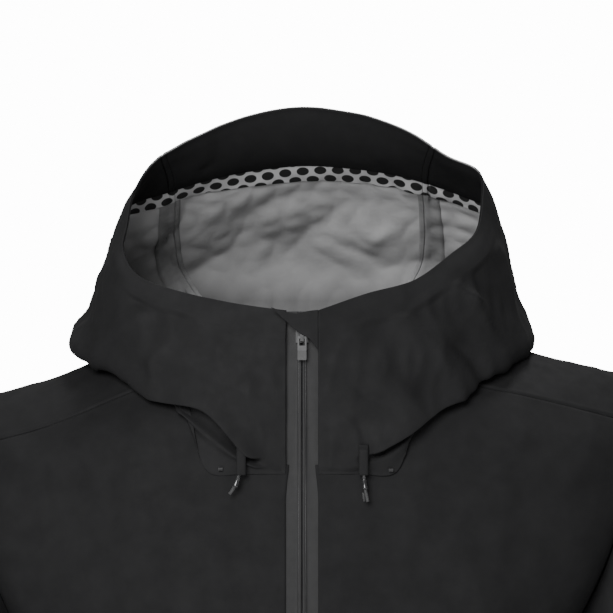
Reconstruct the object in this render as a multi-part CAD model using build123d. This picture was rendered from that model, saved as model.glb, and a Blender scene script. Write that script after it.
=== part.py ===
from build123d import *
import math
import os

# Hardshell jacket, men's medium, standing open-necked as if worn, hood raised and resting back.
# Millimetres. +Z up, the front faces -Y, the wearer's left is +X.
# The origin is the middle of the hang loop's eye, inside the back of the neck.

# ---- driving dimensions ----------------------------------------------------------------------
WALL = 1.6                  # modelled thickness of the shell fabric
SEAM = 0.7                  # half the gap left along a seam
FRONT_Y = -200.0            # outer face of the centre front
SIDE_Y = -65.0              # side seams and sleeve heads
EDGE_X = 13.0               # fabric edge beside the front zip
ARMPIT_Z = -252.0
HEM_FRONT_Z = -700.0
HEM_BACK_Z = -740.0
COLLAR_Z = -109.0           # horizontal part of the hood seam
RIM_Z = 22.0                # top of the centre front

ZIP_GAP = 0.45              # half the gap between the two coils
COIL_WIDTH = 2.7
COIL_FRONT = FRONT_Y + 0.8
COIL_BACK = FRONT_Y + 3.6
TAPE_FRONT = FRONT_Y + 2.0
TAPE_THICK = 0.8
TAPE_EDGE_X = 24.0
ZIP_TOP_Z = 15.0
ZIP_BOTTOM_Z = -690.0

PULL_WIDTH = 7.2
PULL_PIVOT_Y = FRONT_Y - 4.0
PULL_PIVOT_Z = 0.3
PULL_THICK = 1.8
PULL_LINK_END_Z = -10.3
PULL_END_Z = -17.8

CORD_RADIUS = 1.2
CORD_END_RADIUS = 2.4
CORD_END_PLAY = 0.25        # radial room round the cord inside its end piece
TUNNEL_WIDTH = 8.0

POCKET_TOP = (128.0, -430.0)      # x and z of the upper end of the pocket zip
POCKET_BOTTOM = (150.0, -600.0)
POCKET_SLOT_WIDTH = 13.0
POCKET_SLOT_LENGTH = 178.0

GAP = 0.35                  # room between layers that lie on each other
BAND_THICK = 0.7            # facings inside the hem and the cuffs
HEM_BAND = 30.0
BRIM_ROOT = 0.86            # where the brim facing starts on a hood column
HEIGHT_STEP = 0.05          # spacing of section points up the hood
FLAP_Y = FRONT_Y - 6.6      # back of the flap over the top of the zip
LOOP_BOW = 6.5
LOOP_HEIGHT = 6.0
TAB_HINGE_ANGLE = -42.0     # where the cuff tab is sewn to the sleeve

SLEEVE_SEAM_ANGLE = 49.0          # where the yoke seam meets the armhole


# ---- small vector helpers --------------------------------------------------------------------
def add(p, q, k=1.0):
    return tuple(a + k * b for a, b in zip(p, q))


def mix(p, q, k):
    return tuple(a + (b - a) * k for a, b in zip(p, q))


def mirror(p, side):
    return (p[0] * side, p[1], p[2])


def unit(p):
    size = math.sqrt(sum(a * a for a in p)) or 1.0
    return tuple(a / size for a in p)


def cross(p, q):
    return (p[1] * q[2] - p[2] * q[1], p[2] * q[0] - p[0] * q[2], p[0] * q[1] - p[1] * q[0])


def along(rows, t):
    """Smooth curve through rows of equal length; t runs from 0 to len(rows) - 1."""
    last = len(rows) - 1
    i = min(max(int(math.floor(t)), 0), last - 1)
    f = t - i
    before = rows[i - 1] if i > 0 else add(rows[i], add(rows[i + 1], rows[i], -1.0), -1.0)
    after = rows[i + 2] if i + 2 <= last else add(rows[last], add(rows[last], rows[i], -1.0), 1.0)
    a = rows[i]
    b = rows[i + 1]
    out = []
    for p0, p1, p2, p3 in zip(before, a, b, after):
        m1 = (p2 - p0) / 2
        m2 = (p3 - p1) / 2
        out.append((2 * f**3 - 3 * f**2 + 1) * p1 + (f**3 - 2 * f**2 + f) * m1
                   + (-2 * f**3 + 3 * f**2) * p2 + (f**3 - f**2) * m2)
    return tuple(out)


# ---- body: rows run from the centre or the neck outwards to the side seam or the armhole ------
# front rows from armpit level to the yoke seam: inner end, angle on the armhole, row fullness
FRONT_ROWS = [
    (EDGE_X, FRONT_Y, ARMPIT_Z, 180, 2.4),
    (EDGE_X, FRONT_Y, -190, 152, 2.3),
    (EDGE_X, FRONT_Y, -130, 124, 2.1),
    (EDGE_X, FRONT_Y + 2, -85, 98, 1.9),
    (48, -180, -48, 72, 1.65),
    (96, -150, -32, SLEEVE_SEAM_ANGLE, 1.4),
]
# yoke rows from the front yoke seam over the shoulder to the back yoke seam
YOKE_ROWS = [
    (96, -150, -32, SLEEVE_SEAM_ANGLE, 1.4),
    (98, -115, -8, 28, 1.3),
    (92, -72, 6, 8, 1.2),
    (74, -32, 10, -12, 1.25),
    (42, -4, 3, -30, 1.3),
    (0, 5, -4, -SLEEVE_SEAM_ANGLE, 1.4),
]
# back rows from the back yoke seam to armpit level
BACK_ROWS = [
    (0, 5, -4, -SLEEVE_SEAM_ANGLE, 1.4),
    (0, 30, -60, -80, 1.7),
    (0, 50, -120, -110, 2.0),
    (0, 64, -185, -145, 2.3),
    (0, 70, ARMPIT_Z, -180, 2.4),
]
# side girth below the armpit: depth below the armpit, half width, back depth behind the side seam
GIRTH = [(0, 222, 135), (150, 212, 121), (300, 214, 112), (490, 222, 125)]


def armhole(angle):
    """Armhole loop: 180 degrees at the armpit, 0 on top of the shoulder, positive in front."""
    a = math.radians(angle)
    swell = math.copysign(abs(math.sin(a)) ** (1.7 if math.cos(a) < 0 else 1.0), math.sin(a))
    return (246.5 + 24.5 * math.cos(a) + 18 * math.sin(a) ** 2,
            SIDE_Y - 56 * swell,
            -142.5 + 109.5 * math.cos(a))


def bow(inner, outer, fullness, t):
    """Point on a row: a superellipse quarter between its inner and outer ends, spaced evenly."""
    steps = 48
    points = []
    for k in range(steps + 1):
        a = math.pi / 2 * k / steps
        across = math.sin(a) ** (2 / fullness)
        deep = math.cos(a) ** (2 / fullness) if k < steps else 0.0
        points.append((inner[0] + (outer[0] - inner[0]) * across,
                       outer[1] + (inner[1] - outer[1]) * deep,
                       inner[2] + (outer[2] - inner[2]) * across ** 1.25))
    lengths = [0.0]
    for p, q in zip(points, points[1:]):
        lengths.append(lengths[-1] + math.dist(p, q))
    goal = min(max(t, 0.0), 1.0) * lengths[-1]
    k = max(i for i, size in enumerate(lengths[:-1]) if size <= goal)
    return mix(points[k], points[k + 1], (goal - lengths[k]) / (lengths[k + 1] - lengths[k]))


def upper_body(rows, s, t):
    x, y, z, angle, fullness = along(rows, s)
    return bow((x, y, z), armhole(angle), fullness, t)


def girth(depth):
    """Half width and back depth at a depth below the armpit."""
    at = 0
    while at < len(GIRTH) - 2 and depth > GIRTH[at + 1][0]:
        at += 1
    low, high = GIRTH[at], GIRTH[at + 1]
    return along([g[1:] for g in GIRTH], at + (depth - low[0]) / (high[0] - low[0]))


def lower_body(back, h, t):
    """h is 0 at armpit level and 1 at the hem; t is 0 at the centre and 1 at the side seam."""
    drop_front = ARMPIT_Z - HEM_FRONT_Z
    drop_back = ARMPIT_Z - HEM_BACK_Z
    half, behind = girth(h * drop_back)
    inner = (0.0, SIDE_Y + behind, 0.0) if back else (EDGE_X, FRONT_Y, 0.0)
    x, y, z = bow(inner, (half, SIDE_Y, 0.0), 2.4, t)
    rear = (y - FRONT_Y) / (SIDE_Y + behind - FRONT_Y)
    return (x, y, ARMPIT_Z - h * (drop_front + (drop_back - drop_front) * rear))


def front_surface(r, t):
    """r from -1 at the hem through 0 at the armpit to 5 at the yoke seam."""
    return lower_body(False, -r, t) if r < 0 else upper_body(FRONT_ROWS, r, t)


def back_surface(r, t):
    """r from -1 at the hem through 0 at the armpit to 4 at the back yoke seam; t from -1 to 1."""
    p = lower_body(True, -r, abs(t)) if r < 0 else upper_body(BACK_ROWS, 4 - r, abs(t))
    return mirror(p, -1 if t < 0 else 1)


# ---- sleeves: rings from the armhole to the cuff ----------------------------------------------
# inner x and z, outer x and z, centre y, half depth
SLEEVE_RINGS = [
    (222, -252, 271, -33, SIDE_Y, 56),
    (228, -276, 307, -72, -66, 60),
    (237, -318, 334, -152, -68, 66),
    (248, -372, 350, -252, -72, 65),
    (260, -432, 363, -350, -78, 61),
    (274, -498, 376, -446, -88, 58),
    (291, -568, 388, -535, -100, 53),
    (308, -632, 399, -612, -111, 49),
]


def sleeve_ring(angle, w):
    xi, zi, xo, zo, y, depth = along(SLEEVE_RINGS, w)
    a = math.radians(angle)
    return ((xi + xo) / 2 + (xo - xi) / 2 * math.cos(a),
            y - depth * math.sin(a),
            (zi + zo) / 2 + (zo - zi) / 2 * math.cos(a))


def sleeve_surface(angle, w):
    """w runs from 0 at the armhole to 7 at the cuff edge."""
    fade = max(0.0, 1.0 - w / 2.2) ** 2
    misfit = add(armhole(angle), sleeve_ring(angle, 0), -1.0)
    return add(sleeve_ring(angle, w), misfit, fade)


def yoke_surface(s, q):
    """s from 0 at the front seam to 5 at the back seam; q 0 neck, 1 armhole, 8 cuff edge."""
    if q <= 1:
        return upper_body(YOKE_ROWS, s, q)
    angle = along([row[3:4] for row in YOKE_ROWS], s)[0]
    return sleeve_surface(angle, q - 1)


# ---- hood: columns from the neck seam to the rim, station 0 at the front edge, 11 at the back --
NECK = [(13, -200.6, -109), (45, -200.6, -109), (76, -197.5, -107), (88, -189, -67), (96, -154, -30),
        (98, -118, -7), (95, -84, 5), (86, -52, 11), (70, -26, 11), (47, -7, 5.5), (23, 3, -0.5), (0, 5, -2.5)]
DRAPE = [(13, -201, -92), (42, -204, -92), (76, -198, -75), (110, -180, -50), (140, -157, -30),
         (166, -122, -12), (186, -78, -1), (178, -20, 2), (150, 28, 0), (108, 58, -5),
         (56, 74, -4), (0, 80, -5)]
BELLY = [(13, -204, -35), (47, -204, -35), (84, -193, -25), (121, -173, -5), (153, -146, 15),
         (175, -105, 30), (180, -50, 40), (172, 2, 48), (148, 42, 54), (108, 68, 58),
         (56, 80, 61), (0, 84, 62)]
ROOT = [(13, -206, 5), (52, -195, 15), (90, -181, 25), (125, -161, 48), (150, -140, 66),
        (161, -110, 86), (163, -78, 106), (140, -60, 118), (108, -51, 130), (74, -47, 139),
        (38, -45, 144), (0, -45, 146)]
RIM = [(13, -206, 22), (53, -190, 36), (90.5, -175, 46.5), (122, -155, 68.5), (142.5, -135, 86),
       (148.5, -120, 109), (147.5, -108, 136.5), (120.5, -98, 151), (92.5, -88, 170), (65, -80, 182),
       (37.5, -76, 189), (-3, -75, 193)]
DRAPE_RIGHT = [(-13, -201, -98), (-42, -204, -88), (-76, -195, -52), (-112, -173, -43),
               (-140, -146, -23), (-168, -110, -8), (-187, -80, -3), (-179, -22, 1),
               (-150, 28, -1), (-108, 58, -5), (-56, 74, -4), (0, 80, -5)]
RIM_RIGHT = [(-13, -203.5, 22), (-53, -188, 27.5), (-95, -173, 36.5), (-133, -155, 50),
             (-147, -138, 71.5), (-145, -125, 92), (-139.5, -112, 121), (-126, -102, 144),
             (-99.5, -90, 162), (-71, -82, 176), (-43.5, -77, 186), (-3, -75, 193)]
CENTRE_SEAM = 7.0           # station of the seams beside the hood's centre panel
SEAM_SWEEP = [(0.0, 2.6), (0.4, 2.5), (0.86, 1.1), (1.0, 0.4)]   # their swing to the back by height
SWEEP_REACH = 4.0
RING_AT = [0.0, 0.2, 0.55, 0.86, 1.0]   # where the five rings lie on a column


def hood_columns(side):
    """The five rings of one half of the hood, as columns from the neck seam to the rim."""
    drape = DRAPE if side > 0 else DRAPE_RIGHT
    rim = RIM if side > 0 else RIM_RIGHT
    columns = []
    for i in range(len(NECK)):
        lean_low = add(drape[i], mirror(DRAPE[i], side), -1.0)
        lean_high = add(rim[i], mirror(RIM[i], side), -1.0)
        belly = add(add(mirror(BELLY[i], side), lean_low, 0.5), lean_high, 0.5)
        root = add(add(mirror(ROOT[i], side), lean_low, 0.15), lean_high, 0.85)
        columns.append([mirror(NECK[i], side), drape[i], belly, root, rim[i]])
    return columns


def hood_net():
    left = hood_columns(1)
    right = hood_columns(-1)
    return left + right[-2::-1]


HOOD = hood_net()           # stations 0 to 22, from the wearer's left to the right front edge


def seam_swing(j, v):
    """How far a station swings towards the centre back at height v, so the side seams lean back."""
    low, high = next(pair for pair in zip(SEAM_SWEEP, SEAM_SWEEP[1:]) if v <= pair[1][0])
    swing = low[1] + (high[1] - low[1]) * (v - low[0]) / (high[0] - low[0])
    last = len(HOOD) - 1
    toward = 1 if j < last / 2 else -1
    away = min(abs(j - CENTRE_SEAM), abs(j - last + CENTRE_SEAM))
    return toward * swing * max(0.0, 1 - away / SWEEP_REACH)


def hood_surface(j, v):
    """j is the station, 0 to 22; v is 0 at the neck seam and 1 at the rim."""
    j = j + seam_swing(j, v)
    at = 0
    while at < len(RING_AT) - 2 and v > RING_AT[at + 1]:
        at += 1
    ring = at + (v - RING_AT[at]) / (RING_AT[at + 1] - RING_AT[at])
    rings = [along([column[k] for column in HOOD], j) for k in range(len(RING_AT))]
    return along(rings, ring)


# ---- solids -----------------------------------------------------------------------------------
def grid(surface, us, vs, depth):
    """Points of a surface moved by depth along u x v."""
    h = 0.01
    rows = []
    for u in us:
        row = []
        for v in vs:
            du = add(surface(min(u + h, us[-1]), v), surface(max(u - h, us[0]), v), -1.0)
            dv = add(surface(u, min(v + h, vs[-1])), surface(u, max(v - h, vs[0])), -1.0)
            row.append(add(surface(u, v), unit(cross(du, dv)), depth))
        rows.append(row)
    return rows


def spaced(start, end, count):
    return [start + (end - start) * i / (count - 1) for i in range(count)]


def stations(start, end, step=0.5):
    """Start, end and the multiples of step between them, so that layers share their section planes."""
    first = math.floor(start / step + 0.01) + 1
    last = math.ceil(end / step - 0.01) - 1
    return [start] + [i * step for i in range(first, last + 1)] + [end]


def sheet_solid(surface, inward, us, vs, depth, thick):
    """Solid of even thickness whose outer face lies depth inside a surface.

    inward is 1 where u x v points into the garment and -1 where it points out of it. The solid
    is smooth along v and joined by straight lines along u.
    """
    near = [Spline(*row).edge() for row in grid(surface, us, vs, inward * depth)]
    far = [Spline(*row).edge() for row in grid(surface, us, vs, inward * (depth + thick))]
    starts = [Line(a @ 0, b @ 0).edge() for a, b in zip(near, far)]
    ends = [Line(a @ 1, b @ 1).edge() for a, b in zip(near, far)]
    faces = [Face.make_surface_from_curves(near[0], far[0]), Face.make_surface_from_curves(near[-1], far[-1])]
    for rail in (near, far, starts, ends):
        faces += [Face.make_surface_from_curves(a, b) for a, b in zip(rail, rail[1:])]
    return Solid(Shell(faces))


def block(x0, x1, y0, y1, z0, z1):
    size = Box(abs(x1 - x0), abs(y1 - y0), abs(z1 - z0))
    return Pos((x0 + x1) / 2, (y0 + y1) / 2, (z0 + z1) / 2) * size


def prism_y(outline, y0, y1):
    """Outline of x and z points pushed along y."""
    wire = Polyline([(x, y0, z) for x, z in outline], close=True)
    return Solid.extrude(Face(Wire(wire.edges())), Vector(0, y1 - y0, 0))


NODES = {}


def keep(name, shape):
    NODES[name] = shape


# ---- shell panels -----------------------------------------------------------------------------
def side_name(stem, side):
    return stem + ("_left" if side > 0 else "_right")


def sided(surface, side):
    def placed(u, v):
        return mirror(surface(u, v), side)
    return placed


def front_panel(side):
    rows = spaced(-1, -0.05, 18) + spaced(0, 4.97, 10)
    panel = sheet_solid(sided(front_surface, side), side, rows, spaced(0, 0.995, 12), 0, WALL)
    corner_z = COLLAR_Z - SEAM
    notch = [(0, corner_z), (83, corner_z + 2), (98, -68), (105, -30), (105, 20), (0, 20)]
    panel = panel - prism_y([(x * side, z) for x, z in notch], FRONT_Y - 30, FRONT_Y + 90)
    return panel - pocket_frame(side) * Box(POCKET_SLOT_WIDTH, POCKET_SLOT_LENGTH, 14)


def yoke_sleeve(side):
    across = spaced(0.01, 1, 8) + spaced(1.3, 8, 22)
    return sheet_solid(sided(yoke_surface, side), side, spaced(0.02, 4.98, 11), across, 0, WALL)


def under_sleeve(side):
    edge = SLEEVE_SEAM_ANGLE + 0.7
    angles = spaced(edge, 360 - edge, 19)
    return sheet_solid(sided(sleeve_surface, side), -side, angles, spaced(0.05, 7, 23), 0, WALL)


def back_panel():
    rows = spaced(-1, -0.05, 18) + spaced(0, 3.98, 10)
    return sheet_solid(back_surface, -1, rows, spaced(-0.995, 0.995, 23), 0, WALL)


def hem_facing(side):
    """Turned-up band inside the front hem."""
    surface = sided(front_surface, side)
    rows = spaced(-0.999, -1 + HEM_BAND / (ARMPIT_Z - HEM_FRONT_Z), 4)
    return sheet_solid(surface, side, rows, spaced(0.06, 0.99, 11), WALL + GAP, BAND_THICK)


def hem_facing_back():
    rows = spaced(-0.999, -1 + HEM_BAND / (ARMPIT_Z - HEM_FRONT_Z), 4)
    return sheet_solid(back_surface, -1, rows, spaced(-0.99, 0.99, 21), WALL + GAP, BAND_THICK)


def cuff_facing(side):
    surface = sided(sleeve_surface, side)
    return sheet_solid(surface, -side, spaced(-178, 178, 25), spaced(6.55, 6.99, 4), WALL + GAP, BAND_THICK)


# ---- hood -------------------------------------------------------------------------------------
def hood_panels():
    last = len(HOOD) - 1
    heights = stations(0.01, 1, HEIGHT_STEP)
    seam = 0.03
    left = stations(0, CENTRE_SEAM - seam)
    right = [last - j for j in reversed(left)]
    middle = stations(CENTRE_SEAM + seam, last - CENTRE_SEAM - seam)
    keep("hood_side_left", sheet_solid(hood_surface, -1, left, heights, 0, WALL))
    keep("hood_side_right", sheet_solid(hood_surface, -1, right, heights, 0, WALL))
    keep("hood_centre", sheet_solid(hood_surface, -1, middle, heights, 0, WALL))


def hood_linings():
    last = len(HOOD) - 1
    inside = WALL + 2 * GAP
    brim = stations(5.5, last - 5.5)
    heights = stations(BRIM_ROOT + 0.01, 0.98, HEIGHT_STEP)
    keep("hood_brim_stiffener", sheet_solid(hood_surface, -1, brim, heights, inside, 1.0))
    facing = stations(0.6, last - 0.6)
    heights = stations(BRIM_ROOT, 0.995, HEIGHT_STEP)
    keep("hood_brim_facing", sheet_solid(hood_surface, -1, facing, heights, inside + 1.5, 0.6))
    dotted = stations(4.6, last - 4.6)
    heights = stations(BRIM_ROOT - 0.045, BRIM_ROOT - 0.005, HEIGHT_STEP)
    keep("hood_brim_tape", sheet_solid(hood_surface, -1, dotted, heights, inside, 0.6))
    for side in (1, -1):
        seam = CENTRE_SEAM if side > 0 else last - CENTRE_SEAM
        width = stations(seam - 0.25, seam + 0.25)
        tape = sheet_solid(hood_surface, -1, width, stations(0.3, BRIM_ROOT - 0.05, HEIGHT_STEP), inside + 1.6, 0.5)
        keep(side_name("hood_seam_tape", side), tape)


def neck_tape_surface(j, h):
    """Upright band just inside the back of the neck seam."""
    x, y, z = along([column[0] for column in HOOD], j)
    inwards = unit((-x, SIDE_Y - y, 0))
    return (x + 2.6 * inwards[0], y + 2.6 * inwards[1], z + 2.5 + h)


def hang_loop():
    outer = [Vector(-24, -2, 0), Vector(0, -LOOP_BOW - 1.2, 0), Vector(24, -2, 0)]
    inner = [Vector(23, -1.4, 0), Vector(0, -LOOP_BOW, 0), Vector(-23, -1.4, 0)]
    rim = Wire([ThreePointArc(*outer).edge(), Line(outer[2], inner[0]).edge(),
                ThreePointArc(*inner).edge(), Line(inner[2], outer[0]).edge()])
    return Pos(0, 0, -LOOP_HEIGHT / 2) * Solid.extrude(Face(rim), Vector(0, 0, LOOP_HEIGHT))


# ---- hood cords -------------------------------------------------------------------------------
# from inside the tunnel, out at the collar seam, through the end piece and to the free end
CORD_ROUTES = {
    1: [(49.0, -207.0, -97.0), (49.1, -207.5, -104.5), (49.5, -207.9, -111.8),
        (50.5, -208.0, -122.0), (52.5, -207.2, -130.6)],
    -1: [(-48.4, -207.0, -89.5), (-48.5, -207.6, -98.5), (-49.5, -208.0, -107.5),
         (-53.4, -208.2, -119.0), (-57.8, -207.6, -124.6)],
}
CORD_END_SPANS = {1: (0.08, 0.86), -1: (0.27, 0.98)}


def corner_radii(points):
    radii = []
    for before, corner, after in zip(points, points[1:], points[2:]):
        into = Vector(corner) - Vector(before)
        out = Vector(after) - Vector(corner)
        turn = into.get_angle(out)
        radii.append(0.45 * min(into.length, out.length) / math.tan(math.radians(turn) / 2))
    return radii


def cord(side):
    points = CORD_ROUTES[side]
    radii = corner_radii(points)
    path = FilletPolyline(*points, radius=radii)
    start = Plane(origin=points[0], z_dir=Vector(points[1]) - Vector(points[0]))
    tube = sweep(start * Circle(CORD_RADIUS), path=path)
    ideal = math.pi * CORD_RADIUS ** 2 * path.length
    print(side_name("hood_cord", side), "length", round(path.length, 1),
          "radii", [round(r, 1) for r in radii], "volume ratio", round(tube.volume / ideal, 4))
    return tube


def cord_end(side):
    """Moulded tube that grips the cord below the tunnel."""
    top, bottom = CORD_ROUTES[side][2], CORD_ROUTES[side][3]
    low, high = CORD_END_SPANS[side]
    start, end = mix(top, bottom, low), mix(top, bottom, high)
    axis = Vector(end) - Vector(start)
    frame = Plane(origin=start, z_dir=axis)
    grip = (Align.CENTER, Align.CENTER, Align.MIN)
    body = Cone(CORD_END_RADIUS - 0.5, CORD_END_RADIUS, axis.length, align=grip)
    bore = Cylinder(CORD_RADIUS + CORD_END_PLAY, axis.length, align=grip)
    return frame * (body - bore)


def cord_tunnel(side):
    """Flat fabric channel that the cord leaves at the collar seam."""
    x, y, _ = CORD_ROUTES[side][1]
    top = COLLAR_Z + 24
    tube = block(x - TUNNEL_WIDTH / 2, x + TUNNEL_WIDTH / 2, y - 2.3, y + 2.3, COLLAR_Z - 0.5, top)
    bore = block(x - 2.9, x + 2.9, y - 1.75, y + 1.75, COLLAR_Z - 1, top - 1.2)
    return tube - bore


# ---- front zip --------------------------------------------------------------------------------
def front_zip():
    for side in (1, -1):
        inner, outer = ZIP_GAP * side, (ZIP_GAP + COIL_WIDTH) * side
        keep(side_name("zip_coil", side), block(inner, outer, COIL_FRONT, COIL_BACK, ZIP_BOTTOM_Z, ZIP_TOP_Z))
        tape_back = TAPE_FRONT + TAPE_THICK
        tape = block(outer, TAPE_EDGE_X * side, TAPE_FRONT, tape_back, ZIP_BOTTOM_Z - 6, RIM_Z - 1)
        keep(side_name("zip_tape", side), tape)
    stop_front, stop_top = COIL_FRONT - 0.4, ZIP_TOP_Z + 3
    stops = [block(ZIP_GAP * k, (ZIP_GAP + COIL_WIDTH) * k, stop_front, COIL_BACK, ZIP_TOP_Z, stop_top)
             for k in (1, -1)]
    keep("zip_top_stops", Compound(stops))
    box_top = ZIP_BOTTOM_Z
    keep("zip_box", block(-5.2, 0.3, COIL_FRONT - 0.6, COIL_BACK + 0.4, box_top - 9, box_top)
         - block(-5.3, -3.15, TAPE_FRONT - 0.1, TAPE_FRONT + TAPE_THICK + 0.1, box_top - 10, box_top + 1))
    keep("zip_pin", block(0.5, 3.15, COIL_FRONT, COIL_BACK, box_top - 9, box_top))
    flap = block(-14, 22.5, TAPE_FRONT + 4.4, TAPE_FRONT + 5.2, ZIP_BOTTOM_Z - 4, RIM_Z - 8)
    root = block(21.3, 22.5, TAPE_FRONT + TAPE_THICK, TAPE_FRONT + 4.5, ZIP_BOTTOM_Z - 4, RIM_Z - 8)
    keep("storm_flap", flap + root)


def zip_slider():
    """Front and rear plates joined between the coils, with a bridge that holds the pull."""
    front_plate = block(-5, 5, COIL_FRONT - 2.0, COIL_FRONT - 0.4, -4, 9)
    rear_plate = block(-5, 5, COIL_BACK + 0.4, COIL_BACK + 1.8, -4, 9)
    web = block(-0.2, 0.2, COIL_FRONT - 0.5, COIL_BACK + 0.5, 1, 8)
    plate_face = COIL_FRONT - 1.9
    bridge = (block(-1.4, 1.4, PULL_PIVOT_Y - 2.2, plate_face, 2.3, 3.2)
              + block(-1.4, 1.4, PULL_PIVOT_Y - 2.2, plate_face, -2.7, -1.8)
              + block(-1.4, 1.4, PULL_PIVOT_Y - 2.2, PULL_PIVOT_Y - 1.4, -2.7, 3.2))
    return front_plate + rear_plate + web + bridge


def zip_pull_link():
    half, thick = PULL_WIDTH / 2, PULL_THICK / 2
    front, back = PULL_PIVOT_Y - thick, PULL_PIVOT_Y + thick
    frame = block(-half, half, front, back, PULL_LINK_END_Z, PULL_PIVOT_Z + thick)
    window = block(-2.2, 2.2, PULL_PIVOT_Y - 2, PULL_PIVOT_Y + 2, -6.2, PULL_PIVOT_Z - thick)
    return frame - window


def zip_pull_grip():
    half, thick = PULL_WIDTH / 2, PULL_THICK / 2 + 0.3
    grip = block(-half, half, PULL_PIVOT_Y - thick, PULL_PIVOT_Y + thick, PULL_END_Z, PULL_LINK_END_Z)
    return fillet(grip.edges().filter_by(Axis.Y), 0.8)


def garage_flap():
    outline = [(EDGE_X, 23.5), (-24.5, 24.6), (-14, 15.5), (-4.2, 5.2), (4.4, 2.4), (9, -3.5), (EDGE_X, -10)]
    return prism_y(outline, FLAP_Y - 1.2, FLAP_Y)


# ---- pockets ----------------------------------------------------------------------------------
def pocket_line_point(x, z):
    """Point of the front panel's outer face at a given x and z below the armpit."""
    r = 0.985 * (z - ARMPIT_Z) / (ARMPIT_Z - HEM_FRONT_Z)
    low, high = 0.0, 1.0
    for _ in range(30):
        t = (low + high) / 2
        if front_surface(r, t)[0] < x:
            low = t
        else:
            high = t
    return r, low


def pocket_frame(side):
    """Frame of the pocket zip: x across, y up along it, z outwards; origin on the panel's face."""
    top = sided(front_surface, side)(*pocket_line_point(*POCKET_TOP))
    bottom = sided(front_surface, side)(*pocket_line_point(*POCKET_BOTTOM))
    middle = mix(top, bottom, 0.5)
    r, t = pocket_line_point(abs(middle[0]), middle[2])
    surface = sided(front_surface, side)
    across = add(surface(r, t + 0.04), surface(r, t - 0.04), -1.0)
    up = unit(add(top, bottom, -1.0))
    out = unit(cross(across, up))
    if out[1] > 0:
        out = tuple(-a for a in out)
    return Plane(origin=surface(r, t), x_dir=cross(up, out), z_dir=out)


def pocket(side):
    frame = pocket_frame(side)
    half = POCKET_SLOT_LENGTH / 2
    keep(side_name("pocket_zip_tape", side), frame * block(-11, 11, -half - 4, half + 4, -4.8, -4.0))
    keep(side_name("pocket_zip_coil", side), frame * block(-1.9, 1.9, -half + 2, half - 2, -4.0, -2.2))
    top = half - 4
    slider = (block(-3.6, 3.6, top - 11, top, -1.8, -0.7)
              + block(-3.6, -2.4, top - 11, top, -3.6, -1.7)
              + block(2.4, 3.6, top - 11, top, -3.6, -1.7)
              + block(-1.0, 1.0, top - 8.6, top - 7.8, -0.8, 3.8)
              + block(-1.0, 1.0, top - 3.9, top - 3.1, -0.8, 3.8)
              + block(-1.0, 1.0, top - 8.6, top - 3.1, 3.2, 3.8))
    keep(side_name("pocket_slider", side), frame * slider)
    pull = (block(-2.4, 2.4, top - 32, top - 5.2, 1.0, 2.4)
            - block(-1.5, 1.5, top - 11.4, top - 6.6, 0, 4))
    keep(side_name("pocket_pull", side), frame * pull)
    rows = spaced(-0.86, -0.34, 12)
    bag = sheet_solid(sided(front_surface, side), side, rows, spaced(0.14, 0.70, 9), 8, 2.5)
    keep(side_name("pocket_bag", side), bag)
    pivot = frame.from_local_coords(Vector(0, top - 5.9, 1.7))
    print(side_name("pocket", side), "pivot", tuple(round(c, 2) for c in pivot),
          "along", tuple(round(c, 5) for c in frame.y_dir), "across", tuple(round(c, 5) for c in frame.x_dir))


# ---- cuffs ------------------------------------------------------------------------------------
def cuff(side):
    surface = sided(sleeve_surface, side)
    keep(side_name("cuff_facing", side), cuff_facing(side))
    across = spaced(6.3, 6.75, 4)
    loop = sheet_solid(surface, -side, stations(-38, 80, 10), across, -1.05, 0.6)
    keep(side_name("cuff_loop_patch", side), loop)
    hook = sheet_solid(surface, -side, stations(22, 58, 10), across, -2.0, 0.6)
    keep(side_name("cuff_hook_patch", side), hook)
    tab = sheet_solid(surface, -side, stations(TAB_HINGE_ANGLE, 64, 10), across, -3.7, 1.5)
    keep(side_name("cuff_tab", side), tab)
    hinge = grid(surface, [TAB_HINGE_ANGLE, TAB_HINGE_ANGLE + 1], [6.3, 6.75], 2.2 * side)[0]
    print(side_name("cuff_tab", side), "hinge line", [tuple(round(c, 2) for c in p) for p in hinge])


def main():
    for side in (1, -1):
        keep(side_name("front_panel", side), front_panel(side))
        keep(side_name("yoke_sleeve", side), yoke_sleeve(side))
        keep(side_name("under_sleeve", side), under_sleeve(side))
        keep(side_name("hem_facing", side), hem_facing(side))
        keep(side_name("hood_cord", side), cord(side))
        keep(side_name("hood_cord_end", side), cord_end(side))
        keep(side_name("hood_cord_tunnel", side), cord_tunnel(side))
        pocket(side)
        cuff(side)
    keep("back_panel", back_panel())
    keep("hem_facing_back", hem_facing_back())
    hood_panels()
    hood_linings()
    keep("neck_tape", sheet_solid(neck_tape_surface, -1, spaced(9.2, 12.8, 11), spaced(-9, 0, 4), 0, 0.9))
    keep("hang_loop", hang_loop())
    front_zip()
    keep("zip_slider", zip_slider())
    keep("zip_pull_link", zip_pull_link())
    keep("zip_pull_grip", zip_pull_grip())
    keep("zip_garage_flap", garage_flap())
    os.makedirs("parts", exist_ok=True)
    for name, shape in NODES.items():
        export_step(shape, "parts/" + name + ".step")


main()
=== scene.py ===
"""Hardshell jacket: fabric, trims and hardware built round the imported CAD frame. Lengths are in
millimetres until a mesh is made."""
import math

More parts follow.
